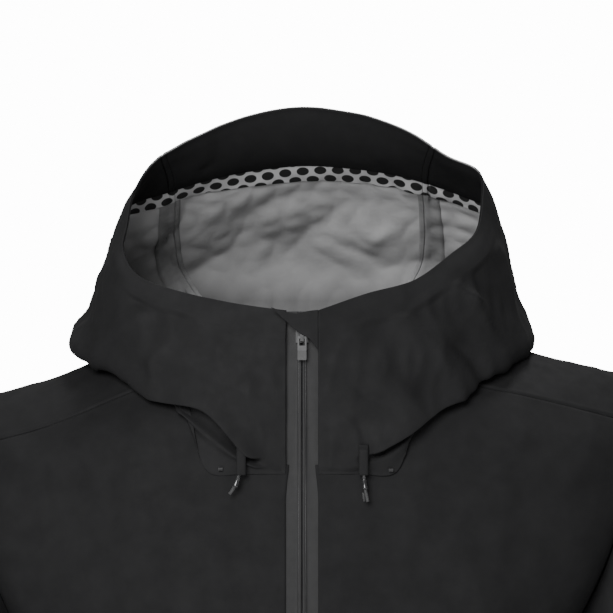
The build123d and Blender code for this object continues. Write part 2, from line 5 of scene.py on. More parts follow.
import bmesh
import bpy
import numpy as np
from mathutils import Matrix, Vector


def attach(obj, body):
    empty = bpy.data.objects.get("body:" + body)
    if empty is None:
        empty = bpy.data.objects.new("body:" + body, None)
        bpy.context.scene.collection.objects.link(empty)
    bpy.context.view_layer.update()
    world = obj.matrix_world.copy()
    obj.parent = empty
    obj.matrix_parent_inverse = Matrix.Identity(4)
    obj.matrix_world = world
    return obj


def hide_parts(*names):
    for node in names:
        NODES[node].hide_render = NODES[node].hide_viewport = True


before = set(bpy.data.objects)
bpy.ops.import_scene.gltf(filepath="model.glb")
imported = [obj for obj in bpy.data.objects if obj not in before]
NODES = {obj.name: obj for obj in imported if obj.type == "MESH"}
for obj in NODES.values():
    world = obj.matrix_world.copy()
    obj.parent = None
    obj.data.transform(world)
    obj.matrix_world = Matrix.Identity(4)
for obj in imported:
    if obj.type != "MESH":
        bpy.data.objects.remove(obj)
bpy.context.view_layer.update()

MM = 0.001

# ---- driving dimensions, the same as the CAD's -------------------------------------------------
FRONT_Y = -200.0
SIDE_Y = -65.0
EDGE_X = 13.0
ARMPIT_Z = -252.0
HEM_FRONT_Z = -700.0
HEM_BACK_Z = -740.0
COLLAR_Z = -109.0
SLEEVE_SEAM_ANGLE = 49.0
CENTRE_SEAM = 7.0
BRIM_ROOT = 0.86
CLOTH = 0.9                 # thickness that the fabric is drawn with
SHOULDER_DROP = 20.0        # how much lower the wearer's right shoulder lies

FRONT_ROWS = [(EDGE_X, FRONT_Y, ARMPIT_Z, 180, 2.4), (EDGE_X, FRONT_Y, -190, 152, 2.3),
              (EDGE_X, FRONT_Y, -130, 124, 2.1), (EDGE_X, FRONT_Y + 2, -85, 98, 1.9),
              (48, -180, -48, 72, 1.65), (96, -150, -32, SLEEVE_SEAM_ANGLE, 1.4)]
YOKE_ROWS = [(96, -150, -32, SLEEVE_SEAM_ANGLE, 1.4), (98, -115, -8, 28, 1.3), (92, -72, 6, 8, 1.2),
             (74, -32, 10, -12, 1.25), (42, -4, 3, -30, 1.3), (0, 5, -4, -SLEEVE_SEAM_ANGLE, 1.4)]
BACK_ROWS = [(0, 5, -4, -SLEEVE_SEAM_ANGLE, 1.4), (0, 30, -60, -80, 1.7), (0, 50, -120, -110, 2.0),
             (0, 64, -185, -145, 2.3), (0, 70, ARMPIT_Z, -180, 2.4)]
GIRTH = [(0, 222, 135), (150, 212, 121), (300, 214, 112), (490, 222, 125)]
SLEEVE_RINGS = [(222, -252, 271, -33, SIDE_Y, 56), (228, -276, 307, -72, -66, 60),
                (237, -318, 334, -152, -68, 66), (248, -372, 350, -252, -72, 65),
                (260, -432, 363, -350, -78, 61), (274, -498, 376, -446, -88, 58),
                (291, -568, 388, -535, -100, 53), (308, -632, 399, -612, -111, 49)]

NECK = [(13, -200.6, -109), (45, -200.6, -109), (76, -197.5, -107), (88, -189, -67), (96, -154, -30),
        (98, -118, -7), (95, -84, 5), (86, -52, 11), (70, -26, 11), (47, -7, 5.5), (23, 3, -0.5),
        (0, 5, -2.5)]
DRAPE = [(13, -201, -92), (42, -204, -92), (76, -198, -75), (110, -180, -50), (140, -157, -30),
         (166, -122, -12), (186, -78, -1), (178, -20, 2), (150, 28, 0), (108, 58, -5),
         (56, 74, -4), (0, 80, -5)]
BELLY = [(13, -204, -35), (47, -204, -35), (84, -193, -25), (121, -173, -5), (153, -146, 15),
         (175, -105, 30), (180, -50, 40), (172, 2, 48), (148, 42, 54), (108, 68, 58),
         (56, 80, 61), (0, 84, 62)]
ROOT = [(13, -206, 5), (52, -195, 15), (90, -181, 25), (125, -161, 48), (150, -140, 66),
        (161, -110, 86), (163, -78, 106), (140, -60, 118), (108, -51, 130), (74, -47, 139),
        (38, -45, 144), (0, -45, 146)]
RIM = [(13, -206, 22), (53, -190, 36), (90.5, -175, 46.5), (122, -155, 68.5), (142.5, -135, 86),
       (148.5, -120, 109), (147.5, -108, 136.5), (120.5, -98, 151), (92.5, -88, 170), (65, -80, 182),
       (37.5, -76, 189), (-3, -75, 193)]
DRAPE_RIGHT = [(-13, -201, -98), (-42, -204, -88), (-76, -195, -52), (-112, -173, -43),
               (-140, -146, -23), (-168, -110, -8), (-187, -80, -3), (-179, -22, 1),
               (-150, 28, -1), (-108, 58, -5), (-56, 74, -4), (0, 80, -5)]
RIM_RIGHT = [(-13, -203.5, 22), (-53, -188, 27.5), (-95, -173, 36.5), (-133, -155, 50),
             (-147, -138, 71.5), (-145, -125, 92), (-139.5, -112, 121), (-126, -102, 144),
             (-99.5, -90, 162), (-71, -82, 176), (-43.5, -77, 186), (-3, -75, 193)]
RING_AT = [0.0, 0.2, 0.55, 0.86, 1.0]
SEAM_SWEEP = [(0.0, 2.6), (0.4, 2.5), (0.86, 1.1), (1.0, 0.4)]
SWEEP_REACH = 4.0
LAST_STATION = 22

CORD_ROUTES = {
    1: [(49.0, -207.0, -97.0), (49.1, -207.5, -104.5), (49.5, -207.9, -111.8),
        (50.5, -208.0, -122.0), (52.5, -207.2, -130.6)],
    -1: [(-48.4, -207.0, -89.5), (-48.5, -207.6, -98.5), (-49.5, -208.0, -107.5),
         (-53.4, -208.2, -119.0), (-57.8, -207.6, -124.6)],
}
CORD_RADIUS = 1.2
CORD_END_SPANS = {1: (0.08, 0.86), -1: (0.27, 0.98)}
SIDES = {1: "left", -1: "right"}


# ---- arrays of points --------------------------------------------------------------------------
def unit(v):
    return v / np.maximum(np.linalg.norm(v, axis=-1, keepdims=True), 1e-9)


def smooth(x):
    x = np.clip(x, 0.0, 1.0)
    return x * x * (3 - 2 * x)


def resample(net, at):
    """Catmull-Rom curve through the rows of an array; at holds places in units of rows."""
    net = np.asarray(net, float)
    at = np.asarray(at, float)
    last = len(net) - 1
    i = np.clip(np.floor(at).astype(int), 0, last - 1)
    f = (at - i).reshape((-1,) + (1,) * (net.ndim - 1))
    padded = np.concatenate([2 * net[:1] - net[1:2], net, 2 * net[-1:] - net[-2:-1]])
    p0, p1, p2, p3 = (padded[i + k] for k in range(4))
    return ((2 * f**3 - 3 * f**2 + 1) * p1 + (f**3 - 2 * f**2 + f) * (p2 - p0) / 2
            + (-2 * f**3 + 3 * f**2) * p2 + (f**3 - f**2) * (p3 - p1) / 2)


def refine(net, us, vs):
    """Net of points resampled at places us along its rows and vs along its columns."""
    return resample(resample(net, us).swapaxes(0, 1), vs).swapaxes(0, 1)


def places(start, end, count, edge=0.0):
    """Even places from start to end, with extra ones a little inside both ends where edge is set."""
    even = np.linspace(start, end, count)
    if not edge:
        return even
    step = edge * np.array([0.35, 0.7, 1.0, 1.6, 2.4])
    return np.unique(np.round(np.concatenate([even, start + step, end - step]), 6))


def normals(points):
    across = np.gradient(points, axis=0)
    up = np.gradient(points, axis=1)
    return unit(np.cross(across, up))


def lengths(points):
    """Distance travelled along the rows, from 0."""
    steps = np.linalg.norm(np.diff(points, axis=0), axis=-1)
    return np.concatenate([np.zeros((1,) + steps.shape[1:]), np.cumsum(steps, axis=0)])


def mirrored(points, side):
    return points * np.array([side, 1.0, 1.0])


# ---- surfaces, as in the CAD -------------------------------------------------------------------
def armhole(angle):
    a = math.radians(angle)
    swell = math.copysign(abs(math.sin(a)) ** (1.7 if math.cos(a) < 0 else 1.0), math.sin(a))
    return (246.5 + 24.5 * math.cos(a) + 18 * math.sin(a) ** 2, SIDE_Y - 56 * swell,
            -142.5 + 109.5 * math.cos(a))


def bow(inner, outer, fullness, ts):
    """Superellipse quarter between two points, at even distances ts."""
    a = np.linspace(0, math.pi / 2, 49)
    across = np.sin(a) ** (2 / fullness)
    deep = np.append(np.cos(a[:-1]) ** (2 / fullness), 0.0)
    points = np.stack([inner[0] + (outer[0] - inner[0]) * across,
                       outer[1] + (inner[1] - outer[1]) * deep,
                       inner[2] + (outer[2] - inner[2]) * across ** 1.25], axis=-1)
    run = lengths(points)
    return np.stack([np.interp(np.asarray(ts) * run[-1], run, points[:, k]) for k in range(3)], axis=-1)


def upper_rows(rows, at, ts):
    net = []
    for x, y, z, angle, fullness in resample(rows, at):
        net.append(bow((x, y, z), armhole(angle), fullness, ts))
    return np.array(net)


def girth(depth):
    at = 0
    while at < len(GIRTH) - 2 and depth > GIRTH[at + 1][0]:
        at += 1
    low, high = GIRTH[at], GIRTH[at + 1]
    return resample([g[1:] for g in GIRTH], [at + (depth - low[0]) / (high[0] - low[0])])[0]


def lower_rows(back, hs, ts):
    """Rows below the armpit; h is 0 at the armpit and 1 at the hem."""
    drop_front = ARMPIT_Z - HEM_FRONT_Z
    drop_back = ARMPIT_Z - HEM_BACK_Z
    net = []
    for h in hs:
        half, behind = girth(h * drop_back)
        inner = (0.0, SIDE_Y + behind, 0.0) if back else (EDGE_X, FRONT_Y, 0.0)
        row = bow(inner, (half, SIDE_Y, 0.0), 2.4, ts)
        rear = (row[:, 1] - FRONT_Y) / (SIDE_Y + behind - FRONT_Y)
        row[:, 2] = ARMPIT_Z - h * (drop_front + (drop_back - drop_front) * rear)
        net.append(row)
    return np.array(net)


def sleeve_net(angles, ws):
    net = []
    rings = resample(SLEEVE_RINGS, ws)
    for angle in angles:
        a = math.radians(angle)
        column = []
        for (xi, zi, xo, zo, y, depth), w in zip(rings, ws):
            ring = np.array([(xi + xo) / 2 + (xo - xi) / 2 * math.cos(a), y - depth * math.sin(a),
                             (zi + zo) / 2 + (zo - zi) / 2 * math.cos(a)])
            xi, zi, xo, zo, y, depth = SLEEVE_RINGS[0]
            first = np.array([(xi + xo) / 2 + (xo - xi) / 2 * math.cos(a), y - depth * math.sin(a),
                              (zi + zo) / 2 + (zo - zi) / 2 * math.cos(a)])
            fade = max(0.0, 1.0 - w / 2.2) ** 2
            column.append(ring + (np.array(armhole(angle)) - first) * fade)
        net.append(column)
    return np.array(net)


def hood_columns(side):
    drape = DRAPE if side > 0 else DRAPE_RIGHT
    rim = RIM if side > 0 else RIM_RIGHT
    flip = np.array([side, 1, 1])
    lean_low = np.array(drape) - np.array(DRAPE) * flip
    lean_high = np.array(rim) - np.array(RIM) * flip
    belly = np.array(BELLY) * flip + 0.5 * lean_low + 0.5 * lean_high
    root = np.array(ROOT) * flip + 0.15 * lean_low + 0.85 * lean_high
    return np.stack([np.array(NECK) * flip, np.array(drape), belly, root, np.array(rim)], axis=1)


def ring_places(vs):
    return np.interp(vs, RING_AT, range(len(RING_AT)))


def swept(stations, v):
    """Stations at height v, swung towards the centre back near the side seams."""
    swing = np.interp(v, [at for at, _ in SEAM_SWEEP], [swing for _, swing in SEAM_SWEEP])
    toward = np.where(stations < LAST_STATION / 2, 1, -1)
    away = np.minimum(np.abs(stations - CENTRE_SEAM), np.abs(stations - LAST_STATION + CENTRE_SEAM))
    return stations + toward * swing * np.maximum(0, 1 - away / SWEEP_REACH)


# ---- folds -------------------------------------------------------------------------------------
def ridge(points, path, height, width, fade=0.3):
    """Height field of a soft fold that follows a path and dies away at both ends."""
    path = np.asarray(path, float)
    legs = np.linalg.norm(np.diff(path, axis=0), axis=1)
    nearest = np.full(points.shape[:-1], 1e9)
    along = np.zeros(points.shape[:-1])
    travelled = 0.0
    for start, end, leg in zip(path, path[1:], legs):
        way = end - start
        t = np.clip(((points - start) @ way) / leg**2, 0, 1)
        gap = np.linalg.norm(points - (start + t[..., None] * way), axis=-1)
        closer = gap < nearest
        nearest = np.where(closer, gap, nearest)
        along = np.where(closer, (travelled + t * leg) / legs.sum(), along)
        travelled += leg
    taper = smooth(along / fade) * smooth((1 - along) / fade)
    return height * taper / (1 + (nearest / width) ** 2) ** 1.5


def crumple(points, seed, wave, height, stretch=(1, 1, 1)):
    """Height field of irregular shallow buckles about one wave apart."""
    rng = np.random.default_rng(seed)
    total = np.zeros(points.shape[:-1])
    count = 9
    for _ in range(count):
        way = unit(rng.normal(size=3)) / np.array(stretch)
        size = wave * rng.uniform(0.7, 1.6)
        total += np.sin(points @ way * (2 * math.pi / size) + rng.uniform(0, 2 * math.pi))
    total /= math.sqrt(count)
    return height * (0.55 - np.abs(total))


def drop_shoulder(points):
    """The wearer's right shoulder hangs lower; the cuffs and the body below stay in place."""
    amount = smooth((-points[..., 0] - 90) / 140) * smooth((points[..., 2] + 430) / 230)
    moved = points.copy()
    moved[..., 2] -= SHOULDER_DROP * amount
    return moved


def seam_roll(u_gap, depth=0.9, lip=0.35):
    """Profile across a seam: the edge turns in, and a low lip runs beside it."""
    return -depth * np.exp(-(u_gap / 1.1) ** 2) + lip * np.exp(-((u_gap - 3.2) / 1.3) ** 2)


def edge_gaps(points, edges):
    """Distance in millimetres of each point from the named edges of its grid."""
    run_u = lengths(points)
    run_v = lengths(points.swapaxes(0, 1)).swapaxes(0, 1)
    gaps = {"u0": run_u, "u1": run_u[-1:] - run_u, "v0": run_v, "v1": run_v[:, -1:] - run_v}
    return [gaps[edge] for edge in edges]


# ---- meshes ------------------------------------------------------------------------------------
def new_object(name, verts, faces, materials, face_materials=None, uvs=None, flat=False):
    mesh = bpy.data.meshes.new(name)
    mesh.from_pydata((np.asarray(verts) * MM).tolist(), [], [list(map(int, f)) for f in faces])
    for material in materials:
        mesh.materials.append(material)
    if face_materials is not None:
        mesh.polygons.foreach_set("material_index", face_materials)
    if uvs is not None:
        layer = mesh.uv_layers.new(name="UVMap")
        corners = np.empty(len(mesh.loops), np.int32)
        mesh.loops.foreach_get("vertex_index", corners)
        layer.data.foreach_set("uv", (np.asarray(uvs)[corners] * MM).ravel())
    if not flat:
        mesh.polygons.foreach_set("use_smooth", [True] * len(mesh.polygons))
    obj = bpy.data.objects.new(name, mesh)
    bpy.context.scene.collection.objects.link(obj)
    return obj


def placed(obj, body, nodes=()):
    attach(obj, body)
    if nodes:
        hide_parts(*nodes)
    return obj


def cloth(name, points, inward, thick, materials):
    """Sheet of even thickness below a grid of points; materials are its outer and inner faces."""
    nu, nv = points.shape[:2]
    out = -inward * normals(points)
    verts = np.concatenate([points.reshape(-1, 3), (points - out * thick).reshape(-1, 3)])
    index = np.arange(nu * nv).reshape(nu, nv)
    a, b, c, d = index[:-1, :-1], index[1:, :-1], index[1:, 1:], index[:-1, 1:]
    top = np.stack([a, b, c, d] if inward < 0 else [d, c, b, a], axis=-1).reshape(-1, 4)
    bottom = top[:, ::-1] + nu * nv
    loop = np.concatenate([index[:, 0], index[-1, 1:], index[-2::-1, -1], index[0, -2:0:-1]])
    after = np.roll(loop, -1)
    sides = [loop, loop + nu * nv, after + nu * nv, after]
    edge = np.stack(sides if inward < 0 else sides[::-1], axis=-1)
    faces = np.concatenate([top, bottom, edge])
    which = np.concatenate([np.zeros(len(top), int), np.ones(len(bottom), int), np.zeros(len(edge), int)])
    run_u = np.repeat(lengths(points)[:, nv // 2][:, None], nv, axis=1)
    run_v = lengths(points.swapaxes(0, 1)).swapaxes(0, 1)
    uv = np.stack([run_u, run_v], axis=-1).reshape(-1, 2)
    return new_object(name, verts, faces, materials, which, np.concatenate([uv, uv]))


def cut(obj, cutter):
    """Takes the cutter's shape out of a piece and deletes the cutter."""
    modifier = obj.modifiers.new("cut", "BOOLEAN")
    modifier.operation = "DIFFERENCE"
    modifier.solver = "EXACT"
    modifier.object = cutter
    bpy.context.view_layer.update()
    result = bpy.data.meshes.new_from_object(obj.evaluated_get(bpy.context.evaluated_depsgraph_get()))
    obj.modifiers.clear()
    obj.data = result
    bpy.data.objects.remove(cutter)


def cutter_between(verts):
    """Cutter between two equal outlines, given one after the other."""
    count = len(verts) // 2
    faces = [list(range(count)), list(range(2 * count - 1, count - 1, -1))]
    faces += [[i, i + count, (i + 1) % count + count, (i + 1) % count] for i in range(count)]
    obj = new_object("cutter", verts, faces, [], flat=True)
    mesh = bmesh.new()
    mesh.from_mesh(obj.data)
    bmesh.ops.recalc_face_normals(mesh, faces=mesh.faces)
    mesh.to_mesh(obj.data)
    mesh.free()
    return obj


def tubes(name, runs, material, sides=8, flatten=1.0):
    """One mesh of closed tubes; each run is its points and its radii."""
    verts, faces = [], []
    turn = np.linspace(0, 2 * math.pi, sides, endpoint=False)
    for points, radii in runs:
        points = np.asarray(points, float)
        ways = unit(np.gradient(points, axis=0))
        helper = np.array([0.0, 1.0, 0.0]) if abs(ways[0][1]) < 0.8 else np.array([1.0, 0.0, 0.0])
        first = len(verts)
        for p, way, r in zip(points, ways, radii):
            a = unit(np.cross(way, helper))
            b = np.cross(way, a)
            verts += [p + r * (math.cos(t) * a + math.sin(t) * b * flatten) for t in turn]
        for k in range(len(points) - 1):
            for s in range(sides):
                n = (s + 1) % sides
                at = first + k * sides
                faces.append([at + s, at + sides + s, at + sides + n, at + n])
        faces.append([first + s for s in range(sides)])
        faces.append([first + (len(points) - 1) * sides + s for s in range(sides - 1, -1, -1)])
    return new_object(name, verts, faces, [material])


def stitches(name, line, pitch, material, radius=0.28, length=0.68):
    """Sewing thread along a line of points: short raised stitches with gaps between them."""
    line = np.asarray(line, float)
    run = lengths(line)
    count = max(2, int(run[-1] / pitch))
    runs = []
    for k in range(count):
        start = (k + 0.16) / count * run[-1]
        at = start + np.array([0, 0.18, 0.5, 0.82, 1.0]) * length * run[-1] / count
        points = np.stack([np.interp(at, run, line[:, c]) for c in range(3)], axis=-1)
        runs.append((points, radius * np.array([0.35, 0.9, 1.0, 0.9, 0.35])))
    return tubes(name, runs, material, sides=6)


def bevel(obj, width, segments=2):
    modifier = obj.modifiers.new("soft edges", "BEVEL")
    modifier.width = width * MM
    modifier.segments = segments
    modifier.limit_method = "ANGLE"
    obj.modifiers.new("even shading", "WEIGHTED_NORMAL")


# ---- materials ---------------------------------------------------------------------------------
class Look:
    """A Principled material with its node tree at hand."""

    def __init__(self, name, colour, rough, **sockets):
        self.material = bpy.data.materials.new(name)
        self.material.use_nodes = True
        self.tree = self.material.node_tree
        self.shader = self.tree.nodes["Principled BSDF"]
        self.shader.inputs["Base Color"].default_value = (*colour, 1)
        self.shader.inputs["Roughness"].default_value = rough
        for key, value in sockets.items():
            self.shader.inputs[key.replace("_", " ")].default_value = value
        self.last_bump = None

    def node(self, kind, inputs=(), **settings):
        made = self.tree.nodes.new("ShaderNode" + kind)
        for key, value in settings.items():
            setattr(made, key, value)
        for key, value in dict(inputs).items():
            if isinstance(value, bpy.types.NodeSocket):
                self.tree.links.new(value, made.inputs[key])
            else:
                made.inputs[key].default_value = value
        return made

    def math(self, operation, a, b=0.0):
        return self.node("Math", {0: a, 1: b}, operation=operation).outputs[0]

    def place(self, kind):
        return self.node("TexCoord").outputs[kind]

    def noise(self, scale, detail=3.0, kind="Object", stretch=(1, 1, 1)):
        where = self.node("Mapping", {"Vector": self.place(kind), "Scale": stretch}).outputs[0]
        return self.node("TexNoise", {"Vector": where, "Scale": scale, "Detail": detail}).outputs[0]

    def threads(self, period, direction, kind="UV"):
        """Parallel threads one period (in metres) apart."""
        scale = 2 * math.pi / 20 / period
        return self.node("TexWave", {"Vector": self.place(kind), "Scale": scale, "Distortion": 0.25},
                         bands_direction=direction).outputs["Fac"]

    def bump(self, height, strength, distance):
        made = self.node("Bump", {"Height": height, "Strength": strength, "Distance": distance})
        if self.last_bump:
            self.tree.links.new(self.last_bump, made.inputs["Normal"])
        self.last_bump = made.outputs[0]
        self.tree.links.new(self.last_bump, self.shader.inputs["Normal"])

    def spread(self, value, low, high, socket, start=0.3, end=0.7):
        """Drives a socket between two values or colours."""
        if isinstance(low, tuple):
            ramp = self.node("ValToRGB", {0: value})
            ramp.color_ramp.elements[0].position = start
            ramp.color_ramp.elements[1].position = end
            ramp.color_ramp.elements[0].color = (*low, 1)
            ramp.color_ramp.elements[1].color = (*high, 1)
            result = ramp.outputs[0]
        else:
            result = self.node("MapRange", {0: value, 1: start, 2: end, 3: low, 4: high}).outputs[0]
        self.tree.links.new(result, self.shader.inputs[socket])
        return result


def tinted(colour, factor):
    return tuple(c * factor for c in colour)


def woven(name, colour, rough, weave, crinkle, vary=0.12, **sockets):
    """Woven face fabric: plain weave, fine crinkle, and slight change of tone and gloss."""
    look = Look(name, colour, rough, **sockets)
    look.spread(look.noise(45, 4), tinted(colour, 1 - vary), tinted(colour, 1 + vary), "Base Color")
    look.spread(look.noise(120, 3), rough - 0.06, rough + 0.06, "Roughness")
    look.bump(look.noise(70, 5), crinkle, 0.0012)
    weft = look.threads(weave, "X")
    warp = look.threads(weave, "Y")
    look.bump(look.math("MULTIPLY", weft, warp), 0.25, weave * 0.12)
    return look


SHELL = woven("shell_fabric", (0.0135, 0.0135, 0.014), 0.78, 0.0008, 0.3,
              Specular_IOR_Level=0.1).material
HOOD_SHELL = woven("hood_fabric", (0.0138, 0.0138, 0.0143), 0.75, 0.0008, 0.3,
                   Specular_IOR_Level=0.12).material
FACING = woven("facing_fabric", (0.010, 0.010, 0.0104), 0.75, 0.0007, 0.2,
               Specular_IOR_Level=0.1).material


def lining_look_with_painted_shade():
    """Knitted backer whose colour carries painted shade: it is darker lower down, towards the neck and inside the
    body.
    """
    look = woven("lining_backer_painted_shade", (0.56, 0.56, 0.564), 0.75, 0.0011, 0.45, vary=0.08,
                 Specular_IOR_Level=0.2)
    tone = look.shader.inputs["Base Color"].links[0].from_socket
    up = look.node("SeparateXYZ", {0: look.place("Object")}).outputs[2]
    # painted shade: below 85 mm height the lining colour is scaled down, to about a quarter of it under 30 mm, in
    # place of shade in the low hood and body
    painted_shade = look.node("MapRange", {0: up, 1: 0.03, 2: 0.085, 3: 0.24, 4: 1.0}).outputs[0]
    tone_with_painted_shade = look.node("VectorMath", {0: tone, "Scale": painted_shade}, operation="SCALE").outputs[0]
    look.tree.links.new(tone_with_painted_shade, look.shader.inputs["Base Color"])
    return look.material


LINING = lining_look_with_painted_shade()
MESH_BAG = woven("pocket_mesh", (0.03, 0.03, 0.031), 0.8, 0.0022, 0.1).material
LOOP_PILE = woven("loop_pile", (0.013, 0.013, 0.014), 0.9, 0.0016, 0.8).material


def dotted_tape():
    """Light woven tape with two staggered rows of dark dots, some cut by its edges."""
    pitch, rows, radius, tilt = 0.0150, 0.0236, 0.0052, 0.08
    light, dark = (0.5, 0.5, 0.505), (0.012, 0.012, 0.012)
    look = Look("dotted_tape", light, 0.6)
    turned = look.node("Mapping", {"Vector": look.place("UV"), "Rotation": (0, 0, tilt)}).outputs[0]
    parts = look.node("SeparateXYZ", {0: turned})
    gaps = []
    for shift in (0.0, 0.5):
        turns = look.math("FRACT", look.math("ADD", look.math("DIVIDE", parts.outputs[0], pitch), shift))
        across = look.math("MULTIPLY", look.math("SUBTRACT", turns, 0.5), pitch)
        turns = look.math("FRACT", look.math("ADD", look.math("DIVIDE", parts.outputs[1], rows), shift))
        up = look.math("MULTIPLY", look.math("SUBTRACT", turns, 0.5), rows)
        squares = look.math("ADD", look.math("MULTIPLY", across, across), look.math("MULTIPLY", up, up))
        gaps.append(look.math("SQRT", squares))
    nearest = look.math("MINIMUM", *gaps)
    look.spread(nearest, dark, light, "Base Color")
    ramp = [n for n in look.tree.nodes if n.bl_idname == "ShaderNodeValToRGB"][0]
    tone_with_painted_shade = look.math("DIVIDE", nearest, 2 * radius)
    look.tree.links.new(tone_with_painted_shade, ramp.inputs[0])
    ramp.color_ramp.elements[0].position = 0.49
    ramp.color_ramp.elements[1].position = 0.51
    raised = look.node("MapRange", {0: nearest, 1: radius - 0.0004, 2: radius, 3: 1.0, 4: 0.0})
    look.bump(raised.outputs[0], 0.4, 0.0002)
    look.bump(look.threads(0.0008, "X"), 0.3, 0.0001)
    return look.material


def film_tape(name, colour, rough):
    """Film over knitted tape: faint knit columns and soft gloss."""
    look = Look(name, colour, rough, Specular_IOR_Level=0.25)
    look.spread(look.noise(160, 3), tinted(colour, 0.9), tinted(colour, 1.1), "Base Color")
    look.bump(look.threads(0.0013, "Y"), 0.18, 0.00012)
    look.bump(look.noise(220, 4), 0.15, 0.0004)
    return look.material


def hard(name, colour, rough, grain=0.15, **sockets):
    """Moulded plastic or lacquered metal: fine grain and worn gloss."""
    look = Look(name, colour, rough, **sockets)
    look.spread(look.noise(400, 3), rough - 0.05, rough + 0.08, "Roughness")
    look.spread(look.noise(90, 2), tinted(colour, 0.85), tinted(colour, 1.15), "Base Color")
    look.bump(look.noise(1500, 2), grain, 0.0001)
    return look.material


DOTS = dotted_tape()
ZIP_FILM = film_tape("zip_film", (0.018, 0.018, 0.0185), 0.55)
SEAM_FILM = film_tape("seam_film", (0.3, 0.3, 0.303), 0.6)
METAL = hard("black_lacquer", (0.06, 0.06, 0.061), 0.38, Metallic=0.6)
GRIP = hard("pull_grip", (0.045, 0.045, 0.046), 0.5)
LINK = hard("pull_link", (0.075, 0.075, 0.077), 0.42, Metallic=0.3)
END_PLASTIC = hard("cord_end_plastic", (0.016, 0.016, 0.017), 0.2, 0.05, Coat_Weight=0.6,
                   Coat_Roughness=0.08)
FOAM = hard("stiffener_foam", (0.02, 0.02, 0.02), 0.8, 0.5)
HOOKS = hard("hook_pad", (0.016, 0.016, 0.016), 0.6, 0.9)
THREAD = woven("sewing_thread", (0.03, 0.03, 0.031), 0.5, 0.0005, 0.1).material


def coil_look():
    """Moulded coil: turns across the bar."""
    look = Look("zip_coil", (0.05, 0.05, 0.051), 0.35)
    look.bump(look.threads(0.0013, "Z", "Object"), 0.9, 0.0006)
    look.spread(look.noise(300, 2), 0.3, 0.45, "Roughness")
    return look.material


def braid_look():
    """Braided elastic: two crossing sets of strands."""
    look = Look("cord_braid", (0.026, 0.026, 0.027), 0.55, Sheen_Weight=0.2)
    strands = []
    for tilt in (0.9, -0.9):
        where = look.node("Mapping", {"Vector": look.place("Object"), "Rotation": (0, tilt, 0)}).outputs[0]
        wave = look.node("TexWave", {"Vector": where, "Scale": 2 * math.pi / 20 / 0.0007})
        strands.append(wave.outputs["Fac"])
    look.bump(look.math("MAXIMUM", *strands), 0.6, 0.0002)
    look.spread(look.noise(500, 2), (0.02, 0.02, 0.021), (0.034, 0.034, 0.035), "Base Color")
    return look.material


COIL = coil_look()
BRAID = braid_look()


# ---- body --------------------------------------------------------------------------------------
FRONT_FOLDS = {
    1: [([(80, -190, -130), (130, -175, -180), (150, -170, -250)], 2.2, 12),
        ([(205, -120, -215), (160, -165, -250), (110, -185, -300)], -3.5, 13),
        ([(210, -110, -250), (170, -160, -300), (140, -175, -370)], 3.2, 12),
        ([(190, -130, -400), (120, -180, -440), (60, -198, -470)], 2.5, 14),
        ([(200, -120, -560), (150, -165, -600), (90, -190, -690)], 3.0, 15)],
    -1: [([(-70, -192, -140), (-120, -180, -190), (-150, -165, -260)], -2.4, 12),
         ([(-205, -120, -225), (-160, -165, -262), (-100, -187, -320)], 3.4, 13),
         ([(-205, -120, -280), (-165, -160, -330), (-130, -178, -400)], -3.0, 12),
         ([(-190, -130, -420), (-130, -178, -470), (-70, -197, -520)], 2.6, 14),
         ([(-200, -120, -540), (-140, -170, -620), (-100, -188, -695)], -2.6, 15)],
}
NOTCH = [(0, COLLAR_Z + 7), (68, COLLAR_Z + 8), (80, -66), (88, -28), (92, 24), (0, 24)]


def front_panel(side):
    rows = np.concatenate([-np.linspace(1, 0.05, 20), np.linspace(0, 5, 21)])
    ts = np.linspace(0, 1, 25)
    low = lower_rows(False, -rows[rows < 0], ts)
    high = upper_rows(FRONT_ROWS, rows[rows >= 0], ts)
    net = np.concatenate([low, high])
    points = refine(net, places(0, len(rows) - 1, 200, 0.1), places(0, 24, 84, 0.12))
    points = mirrored(points, side)
    out = -side * normals(points)
    gaps = edge_gaps(points, ["u0", "v0", "v1", "u1"])
    calm = smooth(gaps[1] / 40) * smooth(gaps[2] / 25 + 0.3) * smooth(gaps[0] / 30) * smooth(gaps[3] / 30)
    height = crumple(points, 11 + side, 160, 3.0, (1, 1, 1.9))
    height = height + crumple(points, 21 + side, 60, 0.9, (1, 1, 1.6))
    for path, rise, width in FRONT_FOLDS[side]:
        height += ridge(points, path, rise, width)
    pocket_calm = 1 - np.exp(-((points[..., 0] * side - 139) / 32) ** 4) * smooth((points[..., 2] + 640) / 30) * (
        smooth((-points[..., 2] - 395) / 30))
    height *= calm * pocket_calm
    height += seam_roll(gaps[2]) + seam_roll(gaps[3]) - 0.6 * np.exp(-(gaps[1] / 0.9) ** 2)
    height += 0.45 * np.exp(-((gaps[1] - 18) / 2.0) ** 2) * (1 if side > 0 else 0.4)
    height -= 0.5 * np.exp(-((gaps[0] - 30) / 1.2) ** 2)
    points = drop_shoulder(points + out * height[..., None])
    obj = cloth("front_shell_" + SIDES[side], points, side, CLOTH, [SHELL, LINING])
    cut(obj, cutter_between([(x * side, y, z) for y in (FRONT_Y - 30, FRONT_Y + 90) for x, z in NOTCH]))
    return obj, points, out


